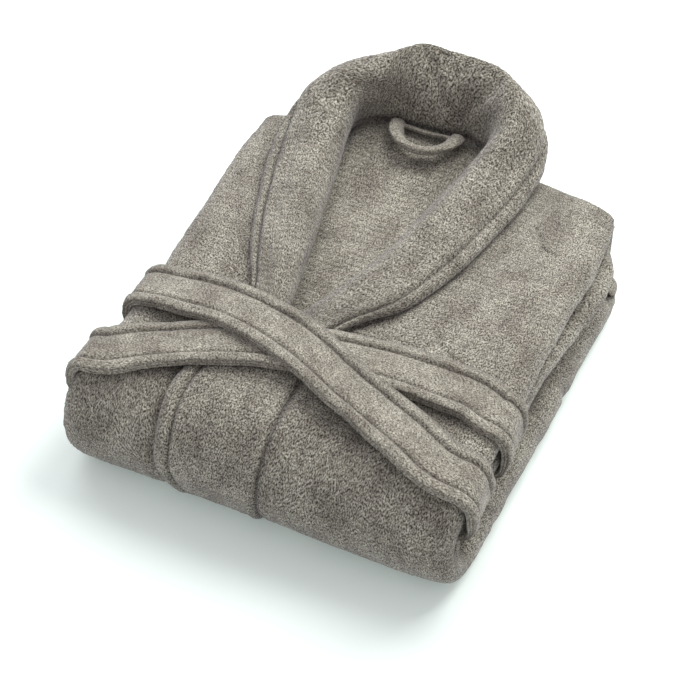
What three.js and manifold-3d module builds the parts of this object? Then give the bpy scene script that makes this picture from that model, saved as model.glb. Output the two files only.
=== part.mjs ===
// A shawl-collar bathrobe folded into a bundle: collar at the back, waist fold at the front.
// Millimetres. x runs to the wearer's left along the waist fold, y from the waist fold back to
// the collar, z up from the surface that the bundle lies on. The outer group is centred last.

import * as THREE from "three";
import { mergeVertices } from "three/addons/utils/BufferGeometryUtils.js";
import Module from "manifold-3d";

const wasm = await Module();
wasm.setup();

// Driving dimensions
const chestWidth = 394; // side fold to side fold
const skirtWidth = 408; // the skirt is folded a little wider than the chest
const skirtShift = 5; // and lies a little to the right
const waistReach = 207; // waist fold, forward of the bundle's middle
const shoulderReach = 230; // shoulder corners, behind the middle
const neckReach = 250; // where the shoulders meet the collar
const skirtReach = 222; // the skirt's fold at the back
const cornerRadius = 32;
const waistDepthUpper = 65; // how far the waist fold's upper curve runs in
const waistDepthLower = 45;
const centreLine = -45; // the front opening, left of the middle
const bandWidth = 96; // front band, from its free edge to its seam
const gap = 0.3; // between layers that touch

const bandLayer = 11.7; // the folded front band
const panelLayer = 18; // a front panel with its facing
const panelInset = 4; // front panels lie this far inside the band's face
const backLayer = 15.7; // back panel
const wingLayer = 11.7; // a side folded in under the back
const skirtLayer = 13;
const skirtBackLayer = 9.7;
const skirtWingLayer = 9.7;
const hemLayer = 10.7;
const sleeveLayer = 18.5;
const sleeveRoom = 3.2; // between the folded sleeves and the hem third
const waistRise = 10; // the waist fold's outermost line, above the hem third
const sideWall = 12; // cloth turned round a side fold
const foldRadius = 14; // rounding of the chest's side folds
const underFoldRadius = 12;

// The bundle is as tall as its layers.
const panelInner = panelInset + panelLayer;
const backOuter = panelInner + gap;
const backInner = backOuter + backLayer;
const wingOuter = backInner + gap;
const wingInner = wingOuter + wingLayer;
const skirtBackOuter = skirtLayer + gap;
const skirtBackInner = skirtBackOuter + skirtBackLayer;
const skirtWingOuter = skirtBackInner + gap;
const skirtWingInner = skirtWingOuter + skirtWingLayer;
const hemBottom = skirtWingInner + gap;
const hemTop = hemBottom + hemLayer;
const sleeveBottom = hemTop + sleeveRoom;
const sleeveTop = sleeveBottom + sleeveLayer;
const stackHeight = sleeveTop + gap + wingInner; // chest above the table
const hingeHeight = hemTop + waistRise;

const openingLength = 150; // from the waist fold to where the lapels cross
const openingTip = { x: centreLine + 7, y: openingLength - waistReach };
const openingTipWidth = 8;
const openingLeftX = centreLine - 85; // the front opening's edges at the neck, under the lapels
const openingRightX = centreLine + 130;
const neckSeam = { y: neckReach + 12, z: stackHeight + 2 };
const yokeDrop = 2.3; // the yoke's top lies this far under the neck seam
const yokeLength = 112; // it rises over this length
const yokeTurn = 6; // and runs on past the seam
const yokeInset = { left: 5, right: 8 }; // inside the neck stand's ends
const collarHeight = 75; // neck seam to roll line
const collarLean = 30; // the roll line stands this far behind the neck seam
const collarFall = 45; // the fall's free edge, behind the neck seam
const collarFallDrop = 56; // and below the roll line
const standLeftX = centreLine - 40; // the neck stand's two ends
const standRightX = centreLine + 90;

const beltWidth = 50;
const beltThickness = 5;
const beltTravel = 10; // what the belt loops allow, each way
const beltCorner = 13;
const beltClearance = 0.8; // belt to side fold
const beltRunClearance = 2; // the belt's hidden run, under the folded-in sides
const beltTuck = 42; // length of each tucked end
const beltTuckRise = 5; // the tucked ends, above the waist fold's outermost line
const beltTuckReach = 58; // and behind it
const beltDrop = 17; // the under strap leaves the right side this far in front of the other

const beltLoopInset = 87; // from a side fold to a belt loop's middle
const beltLoopWidth = 10;
const beltLoopThickness = 1.4;
const beltLoopClearance = { length: 3, depth: 1.5 };
const cuffClearance = 2.6; // cuffs to belt loops

const hangLoopRadius = 5;
const hangLoopSpan = 64; // between the ends' centres, along the neck seam
const hangLoopReach = 30;
const hangLoopX = centreLine + 21;
const hangLoopHeight = neckSeam.z + 3;

const pocketWidth = 150;
const pocketLength = 175;
const pocketLayer = 4;
const pocketSetBack = 42; // behind the waist fold's curve
const pocketShift = 4; // the whole pocket lies this far right of its panel's middle
const pocketMargin = { side: 3, band: 11 }; // the part of the left pocket that isn't folded in

const velour = { color: 0x8f877b, roughness: 0.95, metalness: 0 };
const terry = { color: 0x857d71, roughness: 1, metalness: 0 };

const robe = new THREE.Group();

function add(name, geometry, finish = velour) {
  const mesh = new THREE.Mesh(geometry, new THREE.MeshStandardMaterial(finish));
  mesh.name = name;
  robe.add(mesh);
  return mesh;
}

// Solids

function toManifold(geometry) {
  const bare = geometry.index ? geometry.toNonIndexed() : geometry.clone();
  for (const name of Object.keys(bare.attributes)) {
    if (name !== "position") bare.deleteAttribute(name);
  }
  const merged = mergeVertices(bare, 1e-4);
  return new wasm.Manifold(
    new wasm.Mesh({
      numProp: 3,
      vertProperties: new Float32Array(merged.attributes.position.array),
      triVerts: new Uint32Array(merged.index.array),
    }),
  );
}

function toGeometry(manifold) {
  const mesh = manifold.getMesh();
  const geometry = new THREE.BufferGeometry();
  geometry.setAttribute("position", new THREE.BufferAttribute(mesh.vertProperties, 3));
  geometry.setIndex(new THREE.BufferAttribute(mesh.triVerts, 1));
  return geometry;
}

// A flat outline, [[x, y], ...], raised from z0 to z1.
function prism(outline, z0, z1) {
  const shape = new THREE.Shape(outline.map(([x, y]) => new THREE.Vector2(x, y)));
  const geometry = new THREE.ExtrudeGeometry(shape, { depth: z1 - z0, bevelEnabled: false });
  return geometry.translate(0, 0, z0);
}

// A side profile, [[y, z], ...], drawn out from x0 to x1.
function drawnAlongX(profile, x0, x1) {
  const shape = new THREE.Shape(profile.map(([y, z]) => new THREE.Vector2(y, z)));
  const geometry = new THREE.ExtrudeGeometry(shape, { depth: x1 - x0, bevelEnabled: false });
  const turn = new THREE.Matrix4().makeBasis(
    new THREE.Vector3(0, 1, 0),
    new THREE.Vector3(0, 0, 1),
    new THREE.Vector3(1, 0, 0),
  );
  return geometry.applyMatrix4(turn).translate(x0, 0, 0);
}

// A skin stretched over rings of equal length, with a flat fan on each end.
function loft(rings) {
  const n = rings[0].length;
  const positions = rings.flat().flatMap((p) => [p.x, p.y, p.z]);
  const index = [];
  for (let i = 0; i + 1 < rings.length; i += 1) {
    for (let j = 0; j < n; j += 1) {
      const a = i * n + j;
      const b = i * n + ((j + 1) % n);
      index.push(a, b, b + n, a, b + n, a + n);
    }
  }
  const last = (rings.length - 1) * n;
  for (let j = 1; j + 1 < n; j += 1) {
    index.push(0, j + 1, j);
    index.push(last, last + j, last + j + 1);
  }
  const geometry = new THREE.BufferGeometry();
  geometry.setAttribute("position", new THREE.Float32BufferAttribute(positions, 3));
  geometry.setIndex(index);
  return signedVolume(geometry) < 0 ? turnedInsideOut(geometry) : geometry;
}

function signedVolume(geometry) {
  const at = geometry.attributes.position;
  const index = geometry.index.array;
  const [a, b, c] = [new THREE.Vector3(), new THREE.Vector3(), new THREE.Vector3()];
  let volume = 0;
  for (let i = 0; i < index.length; i += 3) {
    a.fromBufferAttribute(at, index[i]);
    b.fromBufferAttribute(at, index[i + 1]);
    c.fromBufferAttribute(at, index[i + 2]);
    volume += a.dot(b.cross(c)) / 6;
  }
  return volume;
}

function turnedInsideOut(geometry) {
  const index = Array.from(geometry.index.array);
  for (let i = 0; i < index.length; i += 3) {
    [index[i], index[i + 1]] = [index[i + 1], index[i]];
  }
  return geometry.setIndex(index);
}

// Layers of cloth round the waist fold

const folds = {
  upper: { side: 1, depth: waistDepthUpper, rise: stackHeight - hingeHeight },
  lower: { side: -1, depth: waistDepthLower, rise: hingeHeight },
};
const foldSteps = 8;

// A face's line round the fold: `inset` is its depth where the cloth lies flat, `atHinge` at the
// fold's outermost line.
function foldArc(fold, inset, atHinge = inset) {
  const points = [];
  for (let i = 0; i <= foldSteps; i += 1) {
    const angle = (i / foldSteps) * (Math.PI / 2);
    const y = -waistReach + fold.depth - (fold.depth - atHinge) * Math.cos(angle);
    const rise = (fold.rise - inset) * Math.sin(angle);
    points.push([y, hingeHeight + fold.side * Math.max(rise, gap / 2)]);
  }
  return points;
}

// One layer: its faces lie `outer` and `inner` inside the bundle's skin, and it ends at `back`.
function layer(half, x0, x1, outer, inner, back, innerAtHinge = inner) {
  const fold = folds[half];
  const level = (inset) => hingeHeight + fold.side * (fold.rise - inset);
  const profile = [
    ...foldArc(fold, outer),
    [back, level(outer)],
    [back, level(inner)],
    ...foldArc(fold, inner, innerAtHinge).reverse(),
  ];
  return toManifold(drawnAlongX(profile, x0, x1));
}

const chestLeft = -chestWidth / 2;
const chestRight = chestWidth / 2;
const skirtLeft = skirtShift - skirtWidth / 2;
const skirtRight = skirtShift + skirtWidth / 2;
const bandLeft = centreLine - bandWidth / 2;
const bandRight = centreLine + bandWidth / 2;

// The chest's outline seen from above, with sloping shoulders and rounded corners.
function chestOutline() {
  const shape = new THREE.Shape();
  const slope = (neckReach - shoulderReach) / 3;
  shape.moveTo(chestLeft, -waistReach - 1);
  shape.lineTo(chestRight, -waistReach - 1);
  shape.lineTo(chestRight, shoulderReach - cornerRadius);
  shape.quadraticCurveTo(chestRight, shoulderReach, chestRight - cornerRadius, shoulderReach + slope);
  shape.lineTo(openingRightX, neckReach);
  shape.lineTo(openingLeftX, neckReach);
  shape.lineTo(chestLeft + cornerRadius, shoulderReach + slope);
  shape.quadraticCurveTo(chestLeft, shoulderReach, chestLeft, shoulderReach - cornerRadius);
  return shape.getPoints(6).map((p) => [p.x, p.y]);
}

function edgeOfOpening(y, topX) {
  const share = (y - openingTip.y) / (neckReach + cornerRadius - openingTip.y);
  return openingTip.x + (topX - openingTip.x) * share;
}

// The V between the lapels, open towards the neck.
function neckOpening() {
  const far = neckReach + cornerRadius;
  return toManifold(
    prism(
      [
        [openingTip.x - gap, openingTip.y],
        [openingTip.x + openingTipWidth, openingTip.y],
        [edgeOfOpening(far, openingRightX), far],
        [edgeOfOpening(far, openingLeftX), far],
      ],
      0,
      stackHeight,
    ),
  );
}

function box(x0, x1, y0, y1, z0, z1) {
  return toManifold(prism([[x0, y0], [x1, y0], [x1, y1], [x0, y1]], z0, z1));
}

// The chest's cross-section, drawn along y: its side folds are rounded, below too if asked.
function chestSection(bottom, lowerRadius) {
  const upper = stackHeight - panelInset;
  const shape = new THREE.Shape();
  const [left, right, r, q] = [chestLeft, chestRight, foldRadius, lowerRadius];
  shape.moveTo(left + q, bottom);
  shape.lineTo(right - q, bottom);
  if (q > 0) shape.absarc(right - q, bottom + q, q, -Math.PI / 2, 0, false);
  shape.absarc(right - r, upper - r, r, 0, Math.PI / 2, false);
  shape.absarc(left + r, upper - r, r, Math.PI / 2, Math.PI, false);
  if (q > 0) shape.absarc(left + q, bottom + q, q, Math.PI, 1.5 * Math.PI, false);
  const y1 = neckReach + 1;
  const geometry = new THREE.ExtrudeGeometry(shape, {
    depth: y1 + waistReach + 1,
    bevelEnabled: false,
    curveSegments: 5,
  });
  return toManifold(geometry.rotateX(Math.PI / 2).translate(0, y1, 0));
}

// Room in the waist fold's ends for the belt's tucked ends and their travel.
const tuckY = beltTuckReach - waistReach;
const tuckHeight = hingeHeight + beltTuckRise + beltThickness / 2;
const tuckSlack = { length: 3, depth: 1 };
function tuckSlot(side) {
  const reach = beltWidth / 2 + beltTravel + tuckSlack.length;
  const half = beltThickness / 2 + tuckSlack.depth;
  const span = (from, to) => [Math.min(side * from, side * to), Math.max(side * from, side * to)];
  const mouth = chestRight - beltCorner - beltThickness;
  const end = mouth - beltTuck - beltThickness;
  const [y0, y1] = [tuckY - reach, tuckY + reach];
  return box(...span(end, chestRight + 1), y0, y1, tuckHeight - half, tuckHeight + half)
    .add(box(...span(mouth, chestRight + 1), y0, y1, tuckHeight - half,
      tuckHeight + beltCorner + half));
}

const wingReach = 120;
const wingFront = -waistReach + waistDepthUpper;

function frontPanel(side) {
  const [x0, x1] = side < 0 ? [chestLeft, openingTip.x] : [openingTip.x, chestRight];
  const [wall0, wall1] = side < 0
    ? [chestLeft, chestLeft + sideWall]
    : [chestRight - sideWall, chestRight];
  const [wing0, wing1] = side < 0
    ? [chestLeft, chestLeft + wingReach]
    : [chestRight - wingReach, chestRight];
  const behindFold = box(chestLeft, chestRight, wingFront, neckReach, 0, stackHeight);
  const turned = layer("upper", wall0, wall1, panelInset, wingInner, neckReach)
    .add(layer("upper", wing0, wing1, wingOuter, wingInner, neckReach))
    .intersect(behindFold)
    .intersect(chestSection(stackHeight - wingInner, underFoldRadius));
  const bandRoom = box(bandLeft - gap, bandRight + gap, -waistReach - 1, openingTip.y + gap,
    0, stackHeight);
  const outline = toManifold(prism(chestOutline(), 0, stackHeight));
  const overlap = box(x0, x1, -waistReach - 1, neckReach, 0, stackHeight);
  return layer("upper", x0, x1, panelInset, panelInner, neckReach)
    .intersect(chestSection(0, 0))
    .subtract(bandRoom)
    .subtract(neckOpening())
    .intersect(overlap)
    .add(turned)
    .intersect(outline)
    .subtract(tuckSlot(side));
}

add("front_panel_left", toGeometry(frontPanel(-1)));
add("front_panel_right", toGeometry(frontPanel(1)));

const bandEnd = openingTip.y - gap;
const underBandOuter = bandLayer + gap;
const bandRightUpper = layer("upper", bandLeft, bandRight, 0, bandLayer, bandEnd);
const bandLeftUpper = layer("upper", bandLeft, bandRight, underBandOuter, panelInner, bandEnd);
add("front_band_right", toGeometry(bandRightUpper));
add("front_band_left", toGeometry(bandLeftUpper));

// Back panel, with its yoke rising to the neck seam

function backPanel() {
  const x0 = chestLeft + sideWall + gap;
  const x1 = chestRight - sideWall - gap;
  const bottom = stackHeight - backOuter - 2;
  const top = neckSeam.z - yokeDrop;
  const yoke = drawnAlongX(
    [
      [neckSeam.y - yokeLength, bottom],
      [neckSeam.y, top],
      [neckSeam.y + yokeTurn, top],
      [neckSeam.y + yokeTurn, bottom],
    ],
    standLeftX - yokeInset.left,
    standRightX - yokeInset.right,
  );
  const shoulders = toManifold(prism(chestOutline(), 0, stackHeight));
  return layer("upper", x0, x1, backOuter, backInner, neckReach)
    .intersect(shoulders)
    .add(toManifold(yoke))
    .subtract(tuckSlot(-1))
    .subtract(tuckSlot(1));
}

add("back_panel", toGeometry(backPanel()), terry);

// Sleeves, folded flat across the back, each with its turned-back cuff

const sleeveSpace = 28; // between the two sleeves
const sleeveInset = 13; // the left sleeve, inside its side fold
const sleeveProud = 6; // the right one, outside
const sleeveBack = shoulderReach - 25;
const overLeftY = openingTip.y; // the over strap passes the left side here
const underRightY = overLeftY - beltDrop; // and the under strap the right side
const beltLoopReach = beltWidth / 2 + beltTravel + beltLoopThickness + beltLoopClearance.length;
const cuffFront = overLeftY + beltLoopReach + cuffClearance;
const cuffLength = 75;
const cuffProud = 0.9;

function roundedBar(x0, x1, y0, y1, z0, z1) {
  const r = (z1 - z0) / 2;
  const shape = new THREE.Shape();
  shape.absarc(x0 + r, z0 + r, r, Math.PI / 2, (3 * Math.PI) / 2, false);
  shape.absarc(x1 - r, z0 + r, r, (3 * Math.PI) / 2, (5 * Math.PI) / 2, false);
  const geometry = new THREE.ExtrudeGeometry(shape, {
    depth: y1 - y0,
    bevelEnabled: false,
    curveSegments: 6,
  });
  return geometry.rotateX(Math.PI / 2).translate(0, y1, 0);
}

for (const [name, x0, x1] of [
  ["left", chestLeft + sleeveInset, -sleeveSpace / 2],
  ["right", sleeveSpace / 2, chestRight + sleeveProud],
]) {
  const top = sleeveTop - cuffProud;
  const split = cuffFront + cuffLength;
  add(`sleeve_${name}`, roundedBar(x0, x1, split + gap, sleeveBack, sleeveBottom + cuffProud, top));
  add(`cuff_${name}`,
    roundedBar(x0 - cuffProud, x1 + cuffProud, cuffFront, split, sleeveBottom, sleeveTop));
}

// Skirt, folded under at the waist, and its hem third folded back in on top

const skirtWingReach = 130;
const skirtWingFront = -waistReach + waistDepthLower;
const skirtBandLayer = 8;
const pocketFront = skirtWingFront + pocketSetBack;

function pocketPlace(side, slack) {
  const middle = (bandRight + skirtRight) / 2 + pocketShift;
  const [x0, x1] = side < 0
    ? [skirtLeft + pocketMargin.side, bandLeft - pocketMargin.band]
    : [middle - pocketWidth / 2, middle + pocketWidth / 2];
  return [x0 - slack, x1 + slack, pocketFront - slack, pocketFront + pocketLength + slack];
}

function pocketSolid(side, slack, z0, z1) {
  return box(...pocketPlace(side, slack), z0, z1);
}

function skirtFront(side) {
  const [x0, x1] = side < 0 ? [skirtLeft, bandLeft - gap] : [bandRight + gap, skirtRight];
  const [wall0, wall1] = side < 0
    ? [skirtLeft, skirtLeft + sideWall]
    : [skirtRight - sideWall, skirtRight];
  const [wing0, wing1] = side < 0
    ? [skirtLeft, skirtLeft + skirtWingReach]
    : [skirtRight - skirtWingReach, skirtRight];
  const behindFold = box(skirtLeft, skirtRight, skirtWingFront, skirtReach, 0, hingeHeight);
  const turned = layer("lower", wall0, wall1, 0, skirtWingInner, skirtReach)
    .add(layer("lower", wing0, wing1, skirtWingOuter, skirtWingInner, skirtReach))
    .intersect(behindFold);
  return layer("lower", x0, x1, 0, skirtLayer, skirtReach)
    .add(turned)
    .subtract(pocketSolid(side, gap, -1, pocketLayer + gap));
}

add("skirt_front_left", toGeometry(skirtFront(-1)));
add("skirt_front_right", toGeometry(skirtFront(1)));
add("pocket_left", toGeometry(pocketSolid(-1, 0, 0, pocketLayer)));
add("pocket_right", toGeometry(pocketSolid(1, 0, 0, pocketLayer)));

add("skirt_band_right",
  toGeometry(layer("lower", bandLeft, bandRight, 0, skirtBandLayer, skirtReach)));
add("skirt_band_left",
  toGeometry(layer("lower", bandLeft, bandRight, skirtBandLayer + gap, skirtLayer, skirtReach)));

const backLap = 0.7; // how far the back's two halves meet at the waist fold
add("skirt_back",
  toGeometry(layer("lower", skirtLeft + sideWall + gap, skirtRight - sideWall - gap,
    skirtBackOuter, skirtBackInner, skirtReach, backOuter + backLap)), terry);

const hemSetBack = 102; // the hem third's front edge, behind the waist fold's curve
const hemInset = { left: 6, back: 8 };
const hemThirdFront = skirtWingFront + hemSetBack;
const hemBandLength = 40;

function hemPiece(y0, y1) {
  return toGeometry(box(skirtLeft + hemInset.left, skirtRight, y0, y1, hemBottom, hemTop));
}
add("hem_third", hemPiece(hemThirdFront, skirtReach - hemInset.back), terry);
add("hem_band", hemPiece(hemThirdFront - hemBandLength, hemThirdFront - gap));

// Shawl collar: two lapels and the neck stand between them. Each station gives the inner edge a,
// the roll line b and the outer edge c, and how far the roll is flattened.

const chestTop = stackHeight - panelInset + gap;
const V = (x, y, z) => new THREE.Vector3(x, y, z);

function collarRing({ a, b, c, flat }) {
  const spread = c.clone().sub(a).multiplyScalar(flat);
  const inner = b.clone().sub(spread);
  const outer = b.clone().add(spread);
  return [a, a.clone().lerp(inner, 0.55), inner, outer, c.clone().lerp(outer, 0.55), c];
}

// A lapel's place along the opening is a share of the way from its tip to the neck seam, and its
// x is counted from the front's centre line. The outer edge c trails the inner one by `sweep`.
function lying({ along, inner, outer, sweep, height }) {
  const y = openingTip.y + along * (neckSeam.y - openingTip.y);
  const middle = centreLine + (inner + outer) / 2;
  return {
    a: V(centreLine + inner, y, chestTop),
    b: V(middle, y - sweep / 2, chestTop + height),
    c: V(centreLine + outer, y - sweep, chestTop),
    flat: 0.3,
  };
}

function standing(x) {
  return {
    a: V(x, neckSeam.y, neckSeam.z),
    b: V(x, neckSeam.y + collarLean, neckSeam.z + collarHeight),
    c: V(x, neckSeam.y + collarFall, neckSeam.z + collarHeight - collarFallDrop),
    flat: 0.14,
  };
}

// Over the shoulder, just before the neck seam.
function shoulderRing({ inner, outer, roll, height }) {
  const y = neckSeam.y - 24;
  return {
    a: V(centreLine + inner, y, chestTop + 4),
    b: V(centreLine + roll, y + 8, chestTop + height),
    c: V(centreLine + outer, y, chestTop + 4),
    flat: 0.2,
  };
}

add("lapel_right", loft([
  lying({ along: 0.0125, inner: 12, outer: 39, sweep: 3, height: 5 }),
  lying({ along: 0.2038, inner: 33, outer: 93, sweep: 4, height: 12 }),
  lying({ along: 0.4138, inner: 53, outer: 124, sweep: 5, height: 16 }),
  lying({ along: 0.6395, inner: 69, outer: 141, sweep: 12, height: 23 }),
  lying({ along: 0.8213, inner: 83, outer: 154, sweep: 13, height: 38 }),
  shoulderRing({ inner: 97, outer: 154, roll: 129, height: 60 }),
  standing(standRightX + gap),
].map(collarRing)));

add("lapel_left", loft([
  lying({ along: 0.0219, inner: 2, outer: -35, sweep: -8, height: 5 }),
  lying({ along: 0.2571, inner: -12, outer: -59, sweep: 17, height: 12 }),
  lying({ along: 0.4859, inner: -29, outer: -88, sweep: 20, height: 16 }),
  lying({ along: 0.6959, inner: -42, outer: -107, sweep: 20, height: 23 }),
  lying({ along: 0.8213, inner: -49, outer: -114, sweep: 15, height: 36 }),
  shoulderRing({ inner: -54, outer: -110, roll: -83, height: 55 }),
  standing(standLeftX - gap),
].map(collarRing)));

const standStations = 4;
const standXs = Array.from({ length: standStations + 1 },
  (_, i) => standLeftX + ((standRightX - standLeftX) * i) / standStations);
add("collar_stand", loft(standXs.map(standing).map(collarRing)));

// Straps

// A rectangular strap with eased edges along stations of a centre point and its outward normal.
function strap(stations, width, thickness) {
  const rings = stations.map(({ p, n }, i) => {
    const before = stations[Math.max(i - 1, 0)].p;
    const after = stations[Math.min(i + 1, stations.length - 1)].p;
    const along = after.clone().sub(before).normalize();
    const across = n.clone().cross(along).normalize();
    const out = along.clone().cross(across).normalize();
    const half = width / 2;
    const ease = thickness / 2;
    const corners = [[-half, 0], [-half + ease, 1], [half - ease, 1], [half, 0],
      [half - ease, -1], [-half + ease, -1]];
    return corners.map(([u, v]) =>
      p.clone().addScaledVector(across, u).addScaledVector(out, (v * thickness) / 2));
  });
  return loft(rings);
}

const beltSideX = chestWidth / 2 + beltClearance + beltThickness / 2;

// A quarter turn of the belt round a side fold, between the side and the top or bottom run.
function beltTurn(side, y, z, up, fromTop) {
  const stations = [];
  const centre = V(side * (beltSideX - beltCorner), y, z - up * beltCorner);
  const turns = [90, 60, 30, 0];
  for (const degrees of fromTop ? turns : turns.reverse()) {
    const angle = THREE.MathUtils.degToRad(degrees);
    const n = V(side * Math.cos(angle), 0, up * Math.sin(angle));
    stations.push({ p: centre.clone().addScaledVector(n, beltCorner), n });
  }
  return stations;
}

const runHeight = sleeveTop + gap - beltRunClearance - beltThickness / 2;
const beltSkin = stackHeight - 1; // where the belt lies flat on the bundle
const cornerHeight = beltSkin + beltThickness / 2 - 0.5;

const under = (x, y, z) => ({ p: V(x, y, z), n: V(0, 0, -1) });
const tuckX = beltSideX - beltCorner - beltTuck;

// The belt on top of the bundle. x is a share of the chest's half width, y a share of the way
// from the tucked end's place to where the strap passes the other side, and `bulge` is what lies
// under the strap there: cloth, and the other strap where `crossing` is 1.
const overTop = (x, along, bulge, crossing) => ({
  p: V((x * chestWidth) / 2, tuckY + along * (overLeftY - tuckY),
    beltSkin + bulge + (crossing + 0.5) * beltThickness),
  n: V(0, 0, 1),
});
const underTop = (x, along, bulge) => ({
  p: V((x * chestWidth) / 2, underRightY + along * (tuckY - underRightY),
    beltSkin + bulge + beltThickness / 2),
  n: V(0, 0, 1),
});

const beltStations = [
  under(tuckX, tuckY, tuckHeight),
  ...beltTurn(1, tuckY, tuckHeight, -1, true),
  ...beltTurn(1, tuckY - 3, cornerHeight, 1, false),
  overTop(0.8376, -0.0326, 1, 0),
  overTop(0.5736, 0.1739, 1, 1),
  overTop(0.2690, 0.4239, 5, 1),
  overTop(-0.0863, 0.7717, 6.5, 1),
  overTop(-0.4822, 0.9348, 4, 1),
  overTop(-0.7360, 0.9783, 3.5, 0),
  ...beltTurn(-1, overLeftY, cornerHeight, 1, true),
  ...beltTurn(-1, overLeftY, runHeight, -1, false),
  under(0, (overLeftY + underRightY) / 2, runHeight),
  ...beltTurn(1, underRightY, runHeight, -1, true),
  ...beltTurn(1, underRightY, cornerHeight, 1, false),
  underTop(0.8122, -0.0933, 0),
  underTop(0.6091, -0.1333, 0.5),
  underTop(0.3046, -0.08, 3.5),
  underTop(-0.0152, 0.08, 5.5),
  underTop(-0.2792, 0.24, 5.5),
  underTop(-0.5228, 0.48, 2.5),
  underTop(-0.7360, 0.72, 0),
  ...beltTurn(-1, tuckY, cornerHeight - 1, 1, true),
  ...beltTurn(-1, tuckY, tuckHeight, -1, false),
  under(-tuckX, tuckY, tuckHeight),
];
add("belt", strap(beltStations, beltWidth, beltThickness));

// Belt loops: a narrow strap bridging the belt's hidden run, its two ends sewn to a side wing.
function beltLoop(x) {
  const share = (x + chestRight) / chestWidth;
  const y = overLeftY + (underRightY - overLeftY) * share;
  const [y0, y1] = [y - beltLoopReach, y + beltLoopReach];
  const wall = beltLoopThickness;
  const bottom = runHeight - beltThickness / 2 - beltLoopClearance.depth - wall;
  const outer = box(x - beltLoopWidth / 2, x + beltLoopWidth / 2, y0, y1, bottom, sleeveTop);
  const room = box(x - beltLoopWidth, x + beltLoopWidth, y0 + wall, y1 - wall,
    bottom + wall, stackHeight);
  return outer.subtract(room);
}
add("belt_loop_left", toGeometry(beltLoop(chestLeft + beltLoopInset)));
add("belt_loop_right", toGeometry(beltLoop(chestRight - beltLoopInset)));

// Hanging loop: a thick rolled strip, both ends sewn in at the neck seam

const hangLoopY = neckSeam.y - 2 * hangLoopRadius;
const hangLoopPath = new THREE.CatmullRomCurve3([
  V(hangLoopX - hangLoopSpan / 2, hangLoopY, hangLoopHeight),
  V(hangLoopX - hangLoopSpan / 2 + 4, hangLoopY - 0.45 * hangLoopReach, hangLoopHeight),
  V(hangLoopX - hangLoopSpan / 4, hangLoopY - 0.9 * hangLoopReach, hangLoopHeight),
  V(hangLoopX + hangLoopSpan / 8, hangLoopY - hangLoopReach, hangLoopHeight),
  V(hangLoopX + hangLoopSpan / 2 - 5, hangLoopY - 0.6 * hangLoopReach, hangLoopHeight),
  V(hangLoopX + hangLoopSpan / 2, hangLoopY, hangLoopHeight),
]);

function rope(path, radius, steps, sides) {
  const rings = [];
  for (let i = 0; i <= steps; i += 1) {
    const p = path.getPointAt(i / steps);
    const along = path.getTangentAt(i / steps);
    const across = V(0, 0, 1).cross(along).normalize();
    const up = along.clone().cross(across);
    rings.push(Array.from({ length: sides }, (_, j) => {
      const angle = (2 * Math.PI * j) / sides;
      return p.clone()
        .addScaledVector(across, radius * Math.cos(angle))
        .addScaledVector(up, radius * Math.sin(angle));
    }));
  }
  return loft(rings);
}
add("hanging_loop", rope(hangLoopPath, hangLoopRadius, 24, 10));

// Centre the whole robe over the origin, resting on z = 0.
const bounds = new THREE.Box3().setFromObject(robe);
const middle = bounds.getCenter(new THREE.Vector3());
robe.position.set(-middle.x, -middle.y, 0);
robe.updateMatrixWorld(true);

export default robe;
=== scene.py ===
"""A folded shawl-collar bathrobe of taupe terry velour: the looks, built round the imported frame.

Shapes are worked out in millimetres, with x = 0 near the middle of the robe and z = 0 on the
surface that it lies on, and then moved to the frame's place by SHIFT. Cloth pieces are closed
bodies: a grid of points on the outside, the cloth's thickness inwards, and a rounded rim.
"""

import bpy
import bmesh
import itertools
import math
import numpy as np
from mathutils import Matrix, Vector


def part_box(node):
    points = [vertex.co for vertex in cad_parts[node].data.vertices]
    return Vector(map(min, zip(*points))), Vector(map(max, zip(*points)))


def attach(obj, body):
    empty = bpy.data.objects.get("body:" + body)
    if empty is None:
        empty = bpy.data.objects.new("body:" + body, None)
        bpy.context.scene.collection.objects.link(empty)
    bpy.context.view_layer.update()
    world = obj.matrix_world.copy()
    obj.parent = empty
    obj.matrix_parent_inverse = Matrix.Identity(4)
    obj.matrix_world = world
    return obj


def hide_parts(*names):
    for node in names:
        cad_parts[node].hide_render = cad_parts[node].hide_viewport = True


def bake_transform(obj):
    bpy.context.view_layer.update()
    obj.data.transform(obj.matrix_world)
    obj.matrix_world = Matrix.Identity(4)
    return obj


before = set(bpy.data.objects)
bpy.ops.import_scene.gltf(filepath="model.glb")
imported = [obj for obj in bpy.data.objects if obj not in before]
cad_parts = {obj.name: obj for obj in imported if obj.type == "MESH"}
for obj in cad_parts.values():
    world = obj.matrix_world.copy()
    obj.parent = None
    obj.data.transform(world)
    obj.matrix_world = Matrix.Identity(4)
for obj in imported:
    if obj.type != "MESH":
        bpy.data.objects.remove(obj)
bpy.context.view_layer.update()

MM = 0.001


def box_mm(*nodes):
    """The lowest and highest corner of some CAD nodes together, in millimetres."""
    boxes = [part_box(node) for node in nodes]
    low = np.min([np.array(b[0]) for b in boxes], axis=0)
    high = np.max([np.array(b[1]) for b in boxes], axis=0)
    return low / MM, high / MM


# Measures read from the frame

WAIST_REACH = 207  # the waist fold lies this far in front of the robe's own y = 0
CHEST_HALF = 197  # and the chest's right side fold this far from its own x = 0
SHIFT = np.array([
    box_mm("front_panel_right")[1][0] - CHEST_HALF,
    box_mm("skirt_band_right")[0][1] + WAIST_REACH,
    0.0,
])


def placed(*nodes):
    """box_mm in the robe's own millimetres."""
    low, high = box_mm(*nodes)
    return low - SHIFT, high - SHIFT


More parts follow.
